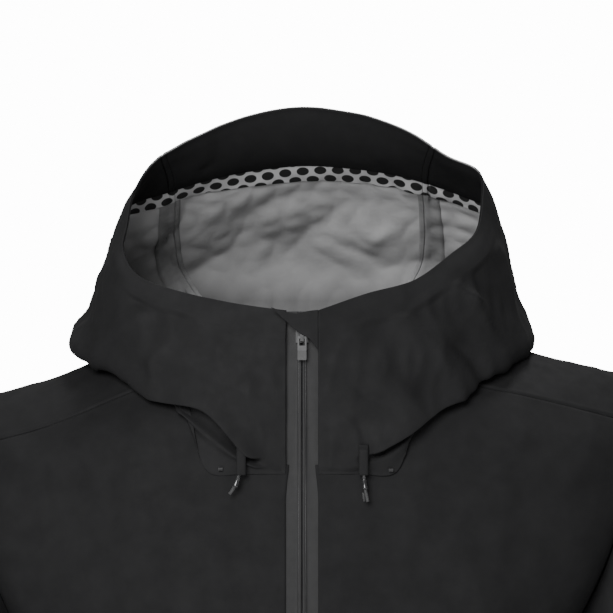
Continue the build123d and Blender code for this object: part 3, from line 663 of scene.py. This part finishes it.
def back_panel():
    rows = np.concatenate([-np.linspace(1, 0.05, 20), np.linspace(0, 4, 17)])
    ts = np.linspace(0, 1, 25)
    half = np.concatenate([lower_rows(True, -rows[rows < 0], ts),
                           upper_rows(BACK_ROWS, 4 - rows[rows >= 0], ts)])
    net = np.concatenate([mirrored(half, -1)[:, :0:-1], half], axis=1)
    points = refine(net, places(0, len(rows) - 1, 190, 0.1), places(0, 48, 150, 0.12))
    out = normals(points)
    gaps = edge_gaps(points, ["u0", "u1", "v0", "v1"])
    calm = smooth(gaps[0] / 40) * smooth(gaps[1] / 30)
    calm = calm * smooth(gaps[2] / 25 + 0.3) * smooth(gaps[3] / 25 + 0.3)
    height = crumple(points, 41, 180, 3.5, (1, 1, 2.0)) + crumple(points, 42, 65, 0.9, (1, 1, 1.6))
    for path, rise, width in BACK_FOLDS:
        height += ridge(points, path, rise, width)
    height *= calm
    height += seam_roll(gaps[1]) + seam_roll(gaps[2]) + seam_roll(gaps[3])
    height -= 0.5 * np.exp(-((gaps[0] - 30) / 1.2) ** 2)
    points = drop_shoulder(points + out * height[..., None])
    return cloth("back_shell", points, -1, CLOTH, [SHELL, LINING]), points, out


BACK_FOLDS = [([(-190, 0, -200), (-120, 50, -260), (-40, 68, -330)], 3.5, 15),
              ([(190, 0, -210), (110, 52, -275), (30, 68, -350)], 3.2, 15),
              ([(-150, 30, -110), (-60, 55, -160), (20, 62, -180)], -2.6, 14),
              ([(-180, 0, -470), (-60, 45, -520), (60, 48, -540)], 3.6, 17),
              ([(170, 5, -430), (80, 45, -500), (-10, 50, -600)], -3.2, 16)]


SLEEVE_FOLDS = {
    1: [([(300, -120, -330), (330, -60, -345), (325, -20, -355)], 4.0, 11),
        ([(270, -125, -345), (310, -130, -375), (350, -100, -390)], -4.5, 10),
        ([(262, -110, -390), (290, -138, -420), (345, -125, -430)], 4.5, 11),
        ([(275, -130, -450), (310, -142, -470), (355, -125, -475)], -3.5, 10),
        ([(240, -110, -300), (255, -130, -250), (262, -125, -190)], -4.0, 12),
        ([(310, -150, -560), (345, -150, -570), (385, -125, -560)], 2.6, 9),
        ([(270, -20, -420), (310, -15, -400), (345, -30, -380)], 4.0, 11),
        ([(285, -40, -500), (325, -35, -480), (360, -45, -460)], -3.2, 11)],
    -1: [([(-300, -120, -320), (-330, -70, -335), (-325, -25, -360)], -4.0, 11),
         ([(-265, -125, -340), (-300, -135, -365), (-345, -110, -385)], 4.4, 11),
         ([(-262, -110, -400), (-300, -138, -425), (-350, -125, -425)], -4.4, 10),
         ([(-275, -130, -440), (-315, -142, -465), (-358, -120, -480)], 3.8, 11),
         ([(-238, -110, -290), (-252, -132, -240), (-264, -125, -180)], 3.6, 12),
         ([(-310, -150, -550), (-350, -150, -562), (-385, -125, -570)], -2.6, 9),
         ([(-270, -20, -410), (-310, -15, -395), (-345, -30, -370)], -3.8, 11),
         ([(-285, -40, -510), (-325, -35, -490), (-360, -45, -470)], 3.4, 11)],
}


def sleeve_height(points, side):
    """Folds of a sleeve: rings of creases about the elbow, calm at the cuff."""
    height = crumple(points, 61 + side, 95, 2.6, (1.4, 1.2, 0.8)) + crumple(points, 71 + side, 38, 0.8)
    for path, rise, width in SLEEVE_FOLDS[side]:
        height += ridge(points, path, rise, width)
    down = -points[..., 2] + 0.35 * (np.abs(points[..., 0]) - 350)
    return height * (1 - smooth((down - 480) / 60)) * smooth((np.abs(points[..., 0]) - 190) / 60)


def yoke_sleeve(side):
    ss = np.linspace(0, 5, 11)
    ts = np.linspace(0, 1, 13)
    body = upper_rows(YOKE_ROWS, ss, ts)
    angles = resample([[row[3]] for row in YOKE_ROWS], ss)[:, 0]
    sleeve = sleeve_net(angles, np.linspace(0, 7, 22)[1:])
    net = np.concatenate([body, sleeve], axis=1)
    points = mirrored(refine(net, places(0, 10, 66, 0.12), places(0, net.shape[1] - 1, 220, 0.1)), side)
    out = -side * normals(points)
    gaps = edge_gaps(points, ["u0", "u1", "v1"])
    calm = smooth(gaps[0] / 22) * smooth(gaps[1] / 22)
    height = sleeve_height(points, side) * (0.35 + 0.65 * calm)
    height += crumple(points, 81 + side, 90, 1.6) * calm * (1 - smooth((np.abs(points[..., 0]) - 190) / 60))
    height += seam_roll(gaps[0]) + seam_roll(gaps[1])
    height -= 0.4 * np.exp(-((gaps[2] - 22) / 1.1) ** 2)
    points = drop_shoulder(points + out * height[..., None])
    return cloth("yoke_sleeve_shell_" + SIDES[side], points, side, CLOTH, [SHELL, LINING]), points, out


def under_sleeve(side):
    angles = np.linspace(SLEEVE_SEAM_ANGLE, 360 - SLEEVE_SEAM_ANGLE, 28)
    ws = np.linspace(0, 7, 22)
    net = sleeve_net(angles, ws)
    points = mirrored(refine(net, places(0, 27, 130, 0.08), places(0, 21, 170, 0.06)), side)
    out = side * normals(points)
    gaps = edge_gaps(points, ["u0", "u1", "v1", "v0"])
    calm = smooth(gaps[0] / 22) * smooth(gaps[1] / 22)
    height = sleeve_height(points, side) * (0.35 + 0.65 * calm) * smooth(gaps[3] / 30)
    height += seam_roll(gaps[0]) + seam_roll(gaps[1]) + seam_roll(gaps[3])
    height -= 0.4 * np.exp(-((gaps[2] - 22) / 1.1) ** 2)
    points = drop_shoulder(points + out * height[..., None])
    return cloth("under_sleeve_shell_" + SIDES[side], points, -side, CLOTH, [SHELL, LINING]), points, out


def pocket_frame(side):
    """Origin and axes of the pocket zip: across, up and out."""
    up = np.array([-0.12859 * side, -0.04836, 0.99052])
    across = np.array([0.90431, 0.40425 * side, 0.13714 * side])
    out = np.cross(across, up)
    pivot = np.array([129.52 * side, -184.71, -432.73])
    return pivot - up * (85 - 5.9) - out * 1.7, across, up, out


def pocket_slot(side):
    """Cutter for the opening over the pocket zip, with round ends."""
    origin, across, up, out = pocket_frame(side)
    turn = np.linspace(0, math.pi, 9)
    top = [(6.0 * math.cos(t), 83 + 6.0 * math.sin(t)) for t in turn]
    outline = top + [(-x, -z) for x, z in top]
    return cutter_between([origin + a * across + b * up + c * out for c in (-9, 9) for a, b in outline])


def pocket_rim(side):
    """Bonded edge round the pocket opening: a thin raised loop with round ends."""
    origin, across, up, out = pocket_frame(side)
    turn = np.linspace(0, math.pi, 17)
    path = [(8.4 * math.cos(t), 83 + 8.4 * math.sin(t)) for t in turn]
    for step in range(1, 24):
        path.append((-8.4, 83 - step * 166 / 24))
    path += [(-x, -z) for x, z in path[:17]]
    for step in range(1, 24):
        path.append((8.4, -83 + step * 166 / 24))
    path.append(path[0])
    points = []
    for a, b in path:
        bulge = -0.00046 * (a * a) - 0.00002 * b * b
        points.append(origin + a * across + b * up + (bulge + 0.15) * out)
    ring = np.array(points)
    towards = unit(origin + up * np.clip([(p - origin) @ up for p in ring], -83, 83)[:, None] - ring)
    rows = [ring + towards * reach + out * rise for reach, rise in
            ((-3.4, 0.0), (-2.6, 0.5), (0.0, 0.62), (2.0, 0.55), (2.6, 0.1))]
    return cloth("pocket_rim_" + SIDES[side], np.array(rows), 1, 0.7, [SHELL, SHELL])


# ---- hood --------------------------------------------------------------------------------------
HOOD_FOLDS = [
    # ridges and creases of the outside near the front
    ([(-172, -60, -12), (-166, -118, -6), (-152, -138, 2), (-134, -160, 16), (-112, -178, 26)], 5.0, 6),
    ([(-150, -140, 26), (-130, -165, 30), (-112, -180, 36)], -3.4, 5),
    ([(-85, -200, -46), (-68, -205, -60), (-52, -208, -78), (-34, -208, -96)], 6.5, 4.5),
    ([(-98, -195, -52), (-78, -202, -72), (-60, -205, -92)], -6.0, 5.5),
    ([(76, -200, 36), (104, -185, 46), (124, -170, 44), (142, -155, 32), (158, -125, 14),
      (168, -100, 2)], 4.6, 5),
    ([(60, -203, 20), (90, -190, 30), (118, -176, 34)], -4.0, 6),
    ([(146, -150, -4), (151, -145, -22)], 3.2, 3.5),
    ([(70, -205, -30), (92, -196, -52), (104, -188, -60)], 3.8, 7),
    ([(40, -206, -60), (54, -206, -84), (58, -205, -100)], -3.2, 5),
    ([(-110, -188, 0), (-122, -176, -20), (-120, -172, -40)], 3.6, 6),
    ([(-60, -203, 4), (-74, -199, -14), (-96, -190, -22)], -3.0, 6),
    ([(-96, -190, 12), (-70, -200, -6), (-40, -206, -30)], 3.0, 6),
    ([(52, -205, -8), (78, -199, -2), (104, -187, 10)], 3.0, 6),
    ([(34, -207, -30), (52, -206, -46), (76, -202, -56)], -2.8, 5),
    ([(118, -178, -2), (134, -165, -12), (146, -150, -30)], -3.4, 5),
    # small puckers of the visor facing
    ([(-70, -60, 160), (-82, -62, 144), (-97, -66, 128)], 1.8, 3),
    ([(56, -60, 156), (74, -62, 146), (95, -66, 136)], -1.8, 3),
]
LINING_FOLDS = [
    ([(-110, 20, 80), (-85, 55, 55), (-40, 78, 20)], 4.5, 14),
    ([(82, 20, 110), (50, 60, 60), (5, 80, 30), (-10, 82, 20)], -4.0, 9),
    ([(-30, 40, 110), (-20, 70, 70), (-40, 80, 35)], 3.0, 16),
    ([(120, 10, 80), (105, 50, 50), (80, 65, 20)], 3.2, 10),
    ([(-130, -20, 90), (-125, 30, 55), (-100, 55, 20)], -3.2, 10),
    ([(30, 50, 100), (60, 65, 70), (90, 60, 50)], 2.6, 11),
]


CREST_V = 0.2               # height of the cheeks' lower edge on a hood column


def cowl_profile(stations, vs):
    """Crest of the cheeks' lower edge, which hangs over a recess above the collar seam."""
    left = smooth((stations - 0.9) / 0.8) * (1 - smooth((stations - 5.6) / 1.2))
    turned = LAST_STATION - stations
    right = smooth((turned - 0.5) / 0.6) * (1 - smooth((turned - 5.8) / 1.2))
    edge = np.maximum(left, right)
    fade = np.where(vs < CREST_V, 0.022, 0.11)
    falling = np.exp(-((vs - CREST_V) / fade) ** 2)
    crest = 7.0 * edge * falling
    recess = -5.0 * edge * np.exp(-((vs - CREST_V + 0.055) / 0.022) ** 2)
    pleat = smooth((turned - 0.5) / 0.5) * (1 - smooth((turned - 2.9) / 0.8))
    recess = recess + 4.4 * pleat * np.exp(-((vs - 0.098) / 0.016) ** 2)
    return crest, recess


def hood_grid():
    net = np.concatenate([hood_columns(1), hood_columns(-1)[-2::-1]])
    stations = np.linspace(0, LAST_STATION, 22 * 15 + 1)
    stations = np.unique(np.concatenate([stations, [0.03, 0.06, 21.94, 21.97]]
                                        + [c + np.array([-0.06, -0.03, 0.03, 0.06])
                                           for c in (CENTRE_SEAM, LAST_STATION - CENTRE_SEAM)]))
    vs = np.unique(np.round(np.concatenate([np.linspace(0, 1, 116), [0.004, 0.99, 0.995],
                                            [BRIM_ROOT + d for d in (-0.052, -0.049, -0.002, 0.0)]]), 5))
    columns = resample(net.swapaxes(0, 1), ring_places(vs))
    points = np.stack([resample(column, swept(stations, v)) for column, v in zip(columns, vs)], axis=1)
    out = normals(points)
    height = np.zeros(points.shape[:2])
    for path, rise, width in HOOD_FOLDS + LINING_FOLDS:
        height += ridge(points, path, rise, width)
    at_v = vs[None, :]
    crest, recess = cowl_profile(stations[:, None], at_v)
    height += recess
    deep = smooth(at_v / 0.12) * (1 - smooth((at_v - 0.80) / 0.06))
    height += crumple(points, 91, 85, 3.0) * deep + crumple(points, 92, 32, 1.3) * deep
    brim = smooth((at_v - 0.86) / 0.04)
    height += crumple(points, 93, 60, 0.8) * brim
    height *= smooth(at_v / 0.05)
    for seam in (CENTRE_SEAM, LAST_STATION - CENTRE_SEAM):
        beside = np.abs(stations[:, None] - seam) * 34
        height += seam_roll(beside, 0.5, 0.3) * smooth(at_v / 0.05)
    height += crest
    moved = points + out * height[..., None]
    moved[..., 2] -= 1.1 * crest
    return moved, stations, vs


HOOD, STATIONS, HEIGHTS = hood_grid()
HOOD_OUT = normals(HOOD)


def hood_part(j0, j1, v0, v1):
    """Index ranges of the hood grid between stations and heights."""
    js = np.where((STATIONS >= j0 - 1e-6) & (STATIONS <= j1 + 1e-6))[0]
    vs = np.where((HEIGHTS >= v0 - 1e-6) & (HEIGHTS <= v1 + 1e-6))[0]
    return slice(js[0], js[-1] + 1), slice(vs[0], vs[-1] + 1)


def hood_layer(name, j0, j1, v0, v1, depth, thick, materials):
    """Layer of the hood; depth below the outer face is a number or a function of height."""
    part = hood_part(j0, j1, v0, v1)
    below = np.broadcast_to(depth(HEIGHTS[part[1]]) if callable(depth) else depth, HEIGHTS[part[1]].shape)
    points = HOOD[part] - HOOD_OUT[part] * below[None, :, None]
    return cloth(name, points, -1, thick, materials)


def hood_side_piece(name, j0, j1):
    """Side of the hood; its inner face is lined except low down by the zip, where it is face cloth."""
    obj = hood_layer(name, j0, j1, 0, 1, 0, CLOTH, [HOOD_SHELL, LINING])
    for face in obj.data.polygons:
        if face.material_index == 1 and face.center.y < -0.1 and face.center.z < 0:
            face.material_index = 0
    return obj


def build_hood():
    last = LAST_STATION
    seams = (CENTRE_SEAM, last - CENTRE_SEAM)
    placed(hood_side_piece("hood_shell_left", 0, seams[0]), "shell", ["hood_side_left"])
    placed(hood_side_piece("hood_shell_right", seams[1], last), "shell", ["hood_side_right"])
    placed(hood_layer("hood_shell_centre", seams[0], seams[1], 0, 1, 0, CLOTH, [HOOD_SHELL, LINING]),
           "shell", ["hood_centre"])
    placed(hood_layer("visor_foam", 5.5, last - 5.5, BRIM_ROOT + 0.01, 0.98, CLOTH + 0.2, 1.2,
                      [FOAM, FOAM]),
           "shell", ["hood_brim_stiffener"])
    placed(hood_layer("visor_facing", 0.6, last - 0.6, BRIM_ROOT, 1.0,
                      lambda v: CLOTH + 0.5 + 1.7 * smooth((1 - v) / 0.035) * smooth((v - 0.855) / 0.02),
                      0.6, [FACING, FACING]),
           "shell", ["hood_brim_facing"])
    placed(hood_layer("visor_dotted_tape", 3.6, last - 3.6, BRIM_ROOT - 0.052, BRIM_ROOT, CLOTH + 0.4, 0.5,
                      [DOTS, DOTS]), "shell", ["hood_brim_tape"])
    for side, seam in ((1, seams[0]), (-1, seams[1])):
        placed(hood_layer("hood_tape_" + SIDES[side], seam - 0.3, seam + 0.3, 0.28, BRIM_ROOT - 0.04,
                          CLOTH + 0.15, 0.35, [SEAM_FILM, SEAM_FILM]),
               "shell", ["hood_seam_tape_" + SIDES[side]])


# ---- assembly ----------------------------------------------------------------------------------
HEM_BAND = 30.0             # facing turned up inside the hem
CUFF_BAND = 25.0            # facing turned up inside the cuff


def band(name, points, out, run, reach, inward, nodes=()):
    """Facing inside an edge, and the stitches that hold it; run is the way in from the edge."""
    rows = int(np.searchsorted(run, reach)) + 1
    inside = points[:rows] - out[:rows] * (CLOTH + 0.35)
    placed(cloth(name, inside, inward, 0.6, [FACING, FACING]), "shell", nodes)
    line = points[rows - 2] + out[rows - 2] * 0.12
    placed(stitches(name + "_stitches", line[2:-2], 3.2, THREAD), "shell")


def hem_band(name, points, out, inward):
    run = lengths(points)[:, points.shape[1] // 2]
    band(name, points, out, run, HEM_BAND, inward, [name.replace("_band", "_facing")])


def cuff_band(name, points, out, inward, nodes=()):
    turned = points[:, ::-1].swapaxes(0, 1)
    run = lengths(turned)[:, turned.shape[1] // 2]
    band(name, turned, out[:, ::-1].swapaxes(0, 1), run, CUFF_BAND, inward, nodes)


def soft_copy(node, body, seed, edge=4.0, height=0.3):
    """Detailed copy of a thin sewn piece: a fine mesh, slightly puckered square to the piece."""
    fine = bmesh.new()
    fine.from_mesh(NODES[node].data)
    fine.transform(NODES[node].matrix_world)
    long_edges = list(fine.edges)
    while long_edges:
        long_edges = [e for e in fine.edges if e.calc_length() > edge * MM]
        bmesh.ops.subdivide_edges(fine, edges=long_edges, cuts=1)
    facing = np.array([[*face.normal] for face in fine.faces])
    areas = np.array([face.calc_area() for face in fine.faces])
    way = np.linalg.eigh(np.einsum("i,ij,ik->jk", areas, facing, facing))[1][:, 2]
    points = np.array([[*v.co] for v in fine.verts]) / MM
    for vert, rise in zip(fine.verts, crumple(points, seed, 16, height)):
        vert.co = vert.co + Vector(way * rise * MM)
    mesh = bpy.data.meshes.new(node + "_cloth")
    fine.to_mesh(mesh)
    fine.free()
    mesh.materials.clear()
    mesh.materials.append(NODES[node].data.materials[0])
    mesh.polygons.foreach_set("use_smooth", [True] * len(mesh.polygons))
    mesh.set_sharp_from_angle(angle=0.7)
    obj = bpy.data.objects.new(mesh.name, mesh)
    bpy.context.scene.collection.objects.link(obj)
    return placed(obj, body, [node])


def build_sewn_pieces():
    """The small sewn pieces: wind flap, neck tape, hang loop, pocket bags and tapes, and cuff tabs."""
    soft_copy("storm_flap", "shell", 201)
    soft_copy("neck_tape", "shell", 202, 2.5)
    soft_copy("hang_loop", "shell", 203, 1.5, 0.15)
    for k, name in enumerate(SIDES.values()):
        soft_copy("pocket_bag_" + name, "shell", 210 + k, 5.0)
        soft_copy("pocket_zip_tape_" + name, "shell", 220 + k, 3.0, 0.1)
        soft_copy("cuff_loop_patch_" + name, "shell", 230 + k, 2.0, 0.2)
        soft_copy("cuff_tab_" + name, "cuff_tab_" + name, 240 + k, 2.0, 0.25)
        soft_copy("cuff_hook_patch_" + name, "cuff_tab_" + name, 240 + k, 2.0, 0.25)


def bar_tack(name, x, z):
    """Dense short stitches at the end of the collar seam."""
    low, high = FRONT_Y - 0.9, FRONT_Y - 1.3
    runs = [([(x + step, low, z - 1.6), (x + step, high, z), (x + step, low, z + 1.6)],
             [0.25, 0.35, 0.25]) for step in np.linspace(-1.5, 1.5, 6)]
    placed(tubes(name, runs, THREAD, 6), "shell")


def build_body():
    for side, name in SIDES.items():
        front, points, out = front_panel(side)
        cut(front, pocket_slot(side))
        placed(front, "shell", ["front_panel_" + name])
        hem_band("hem_band_" + name, points, out, side)
        yoke, points, out = yoke_sleeve(side)
        placed(yoke, "shell", ["yoke_sleeve_" + name])
        cuff_band("cuff_band_upper_" + name, points, out, side, ["cuff_facing_" + name])
        under, points, out = under_sleeve(side)
        placed(under, "shell", ["under_sleeve_" + name])
        cuff_band("cuff_band_under_" + name, points, out, -side)
        placed(pocket_rim(side), "shell")
    back, points, out = back_panel()
    placed(back, "shell", ["back_panel"])
    hem_band("hem_band_back", points, out, -1)
    bar_tack("collar_tack_right", -65.2, -105.0)
    bar_tack("collar_tack_left", 71.2, -105.8)


CAD_LOOKS = {
    "hem_facing": FACING, "cuff_facing": FACING, "neck_tape": FACING, "hang_loop": BRAID,
    "zip_coil": COIL, "zip_top_stops": COIL, "zip_box": COIL, "zip_pin": COIL, "storm_flap": LINING,
    "zip_slider": METAL, "zip_pull_link": LINK, "zip_pull_grip": GRIP, "pocket_zip_tape": ZIP_FILM,
    "pocket_zip_coil": COIL, "pocket_slider": METAL, "pocket_pull": GRIP, "pocket_bag": MESH_BAG,
    "cuff_loop_patch": LOOP_PILE, "cuff_hook_patch": HOOKS, "cuff_tab": SHELL, "zip_tape": ZIP_FILM,
    "hood_cord_tunnel": HOOD_SHELL, "zip_garage_flap": HOOD_SHELL, "hood_cord_end": END_PLASTIC,
    "hood_cord": BRAID, "front_panel": SHELL, "yoke_sleeve": SHELL, "under_sleeve": SHELL,
    "back_panel": SHELL, "hood_side": HOOD_SHELL, "hood_centre": HOOD_SHELL, "hood_brim": FACING,
    "hood_seam_tape": SEAM_FILM,
}


def dress_cad_nodes():
    for name, obj in NODES.items():
        stem = max((s for s in CAD_LOOKS if name.startswith(s)), key=len)
        obj.data.materials.clear()
        obj.data.materials.append(CAD_LOOKS[stem])
    for name in ("zip_slider", "zip_pull_link", "zip_box", "pocket_slider_left", "pocket_slider_right"):
        bevel(NODES[name], 0.35)
    for name in ("zip_pull_grip", "pocket_pull_left", "pocket_pull_right"):
        bevel(NODES[name], 0.3)


def cord_curve(side):
    curve = bpy.data.curves.new("hood_cord_line_" + SIDES[side], "CURVE")
    curve.dimensions = "3D"
    curve.bevel_depth = CORD_RADIUS * MM
    curve.bevel_resolution = 4
    curve.use_fill_caps = True
    spline = curve.splines.new("NURBS")
    route = CORD_ROUTES[side]
    spline.points.add(len(route) - 1)
    for point, place in zip(spline.points, route):
        point.co = (*(c * MM for c in place), 1)
    spline.order_u = 3
    spline.use_endpoint_u = True
    spline.resolution_u = 16
    obj = bpy.data.objects.new(curve.name, curve)
    bpy.context.scene.collection.objects.link(obj)
    curve.materials.append(BRAID)
    return obj


def cord_end_piece(side):
    """Moulded tube with a shallow waist and a lip at each end."""
    top, bottom = np.array(CORD_ROUTES[side][2]), np.array(CORD_ROUTES[side][3])
    low, high = CORD_END_SPANS[side]
    start, end = top + (bottom - top) * low, top + (bottom - top) * high
    profile = [(0.0, 1.35), (0.0, 1.75), (0.06, 1.95), (0.12, 1.9), (0.18, 1.82), (0.5, 2.05), (0.78, 2.25),
               (0.86, 2.4), (0.96, 2.38), (1.0, 2.1), (1.0, 1.4)]
    points = [start + (end - start) * t for t, _ in profile]
    sides = 20
    way = unit(end - start)
    a = unit(np.cross(way, (0, 1, 0)))
    b = np.cross(way, a)
    turn = np.linspace(0, 2 * math.pi, sides, endpoint=False)
    verts = [p + r * (math.cos(t) * a + math.sin(t) * b)
             for p, (_, r) in zip(points, profile) for t in turn]
    faces = []
    count = len(profile)
    for k in range(count):
        for s in range(sides):
            n = (s + 1) % sides
            j = (k + 1) % count
            faces.append([k * sides + s, j * sides + s, j * sides + n, k * sides + n])
    return new_object("cord_end_" + SIDES[side], verts, faces, [END_PLASTIC])


def tunnel_piece(side):
    """Flat sewn channel with rounded walls, open at the bottom for the cord."""
    x, y, _ = CORD_ROUTES[side][1]
    low, high = COLLAR_Z - 0.5, COLLAR_Z + 24
    turn = np.linspace(0, 2 * math.pi, 41)
    rows = []
    for k, z in enumerate(np.linspace(low, high, 22)):
        close = smooth((z - (high - 5)) / 5)
        half, deep = 3.9, 2.2 * (1 - 0.7 * close)
        ring = [(x + half * math.copysign(abs(math.cos(t)) ** 0.55, math.cos(t)),
                 y + 1.5 * close - deep * math.copysign(abs(math.sin(t)) ** 0.75, math.sin(t)),
                 z + 0.25 * math.sin(k * 1.3)) for t in turn]
        rows.append(ring)
    return cloth("cord_tunnel_" + SIDES[side], np.array(rows).swapaxes(0, 1), 1, 0.55, [HOOD_SHELL, FACING])


def build_cords():
    for side, name in SIDES.items():
        end = placed(cord_end_piece(side), "shell", ["hood_cord_end_" + name])
        if side > 0:
            tail = tubes("cord_tail", [([(48.9, -207.6, -123.5), (49.2, -207.8, -126.5),
                                         (49.9, -207.3, -130.4)], [0.8, 0.85, 0.7])], BRAID)
            placed(tail, "shell")
        line = placed(cord_curve(side), "shell", ["hood_cord_" + name])
        placed(tunnel_piece(side), "shell", ["hood_cord_tunnel_" + name])


def zip_film_piece(side):
    """One half of the front zip's tape: flat beside the coil and bulged over it."""
    zs = np.concatenate([np.linspace(-696, -130, 120), np.linspace(-128, 21, 90)])
    xs = np.array([0.16, 0.3, 0.7, 1.4, 2.2, 3.0, 3.5, 4.2, 5.5, 8, 12, 16, 20, 24])
    ys = np.array([-198.3, -199.1, -199.45, -199.5, -199.4, -199.1, -198.6, -198.45, -198.4, -198.4,
                   -198.4, -198.4, -198.4, -198.4])
    rows = np.array([[(x * side, y + 0.1 * math.sin(z * 0.05 + x), z) for z in zs] for x, y in zip(xs, ys)])
    return cloth("zip_film_" + SIDES[side], rows, -side, 0.5, [ZIP_FILM, ZIP_FILM])


def garage_piece():
    """Flap over the top of the zip: a soft corner of cloth, sewn along its long side."""
    top = resample([(-24.5, 24.4), (-14, 20.8), (-4.5, 19.6), (5, 21.4), (13, 22.4)], np.linspace(0, 4, 34))
    low = resample([(-24.5, 24.0), (-14, 14.5), (-3, 4.6), (5.5, -0.5), (13, -9.6)], np.linspace(0, 4, 34))
    painted_shade = np.linspace(0, 1, 18)[None, :, None]
    flat = top[:, None, :] * (1 - painted_shade) + low[:, None, :] * painted_shade
    x, z = flat[..., 0], flat[..., 1]
    y = FRONT_Y - 7.0 + 0.9 * smooth((x - 4) / 9) - 0.6 * np.exp(-((z - 22) / 5) ** 2) * (x < 20)
    points = np.stack([x, y - 0.25, z], axis=-1)
    return cloth("garage_flap_cloth", points, 1, 0.9, [HOOD_SHELL, LINING])


def build_zip():
    for side, name in SIDES.items():
        placed(zip_film_piece(side), "shell", ["zip_tape_" + name])
    placed(garage_piece(), "garage_flap", ["zip_garage_flap"])


# ---- light, floor and camera -------------------------------------------------------------------
AMBIENT = 0.24              # strength of the white surroundings as light
BACKDROP = 14.0             # strength of the plain white backdrop that the camera sees


def area_light(name, place, size, power, target):
    data = bpy.data.lights.new(name, "AREA")
    data.shape = "DISK"
    data.size = size
    data.energy = power
    obj = bpy.data.objects.new(name, data)
    bpy.context.scene.collection.objects.link(obj)
    obj.location = place
    way = unit(np.array(target) - np.array(place))
    obj.rotation_euler = (math.acos(-way[2]), 0, math.atan2(way[1], way[0]) - math.pi / 2)


def build_stage():
    corners = [(-6000, -6000, -765), (6000, -6000, -765), (6000, 6000, -765), (-6000, 6000, -765)]
    pale = Look("pale_floor", (0.82, 0.82, 0.82), 0.8).material
    floor = new_object("floor", corners, [[0, 1, 2, 3]], [pale], flat=True)
    world = bpy.data.worlds.new("studio")
    bpy.context.scene.world = world
    world.use_nodes = True
    tree = world.node_tree
    background = tree.nodes["Background"]
    background.inputs["Color"].default_value = (1, 1, 1, 1)
    seen = tree.nodes.new("ShaderNodeLightPath")
    strength = tree.nodes.new("ShaderNodeMapRange")
    strength.inputs["To Min"].default_value = AMBIENT
    strength.inputs["To Max"].default_value = BACKDROP
    tree.links.new(seen.outputs["Is Camera Ray"], strength.inputs["Value"])
    tree.links.new(strength.outputs[0], background.inputs["Strength"])
    area_light("key", (-0.8, -3.1, 1.15), 1.7, 130, (0, -0.1, 0))
    area_light("top", (0.3, 0.4, 2.2), 0.7, 44, (0, -0.1, 0))


def build_camera():
    data = bpy.data.cameras.new("camera")
    data.sensor_width = 36
    data.lens = 183.52
    data.clip_end = 50
    obj = bpy.data.objects.new("camera", data)
    bpy.context.scene.collection.objects.link(obj)
    obj.location = (0.0036, -2.7, 0.025)
    obj.rotation_euler = (math.pi / 2, 0, 0)
    bpy.context.scene.camera = obj


dress_cad_nodes()
build_body()
build_hood()
build_cords()
build_zip()
build_sewn_pieces()
build_stage()
build_camera()
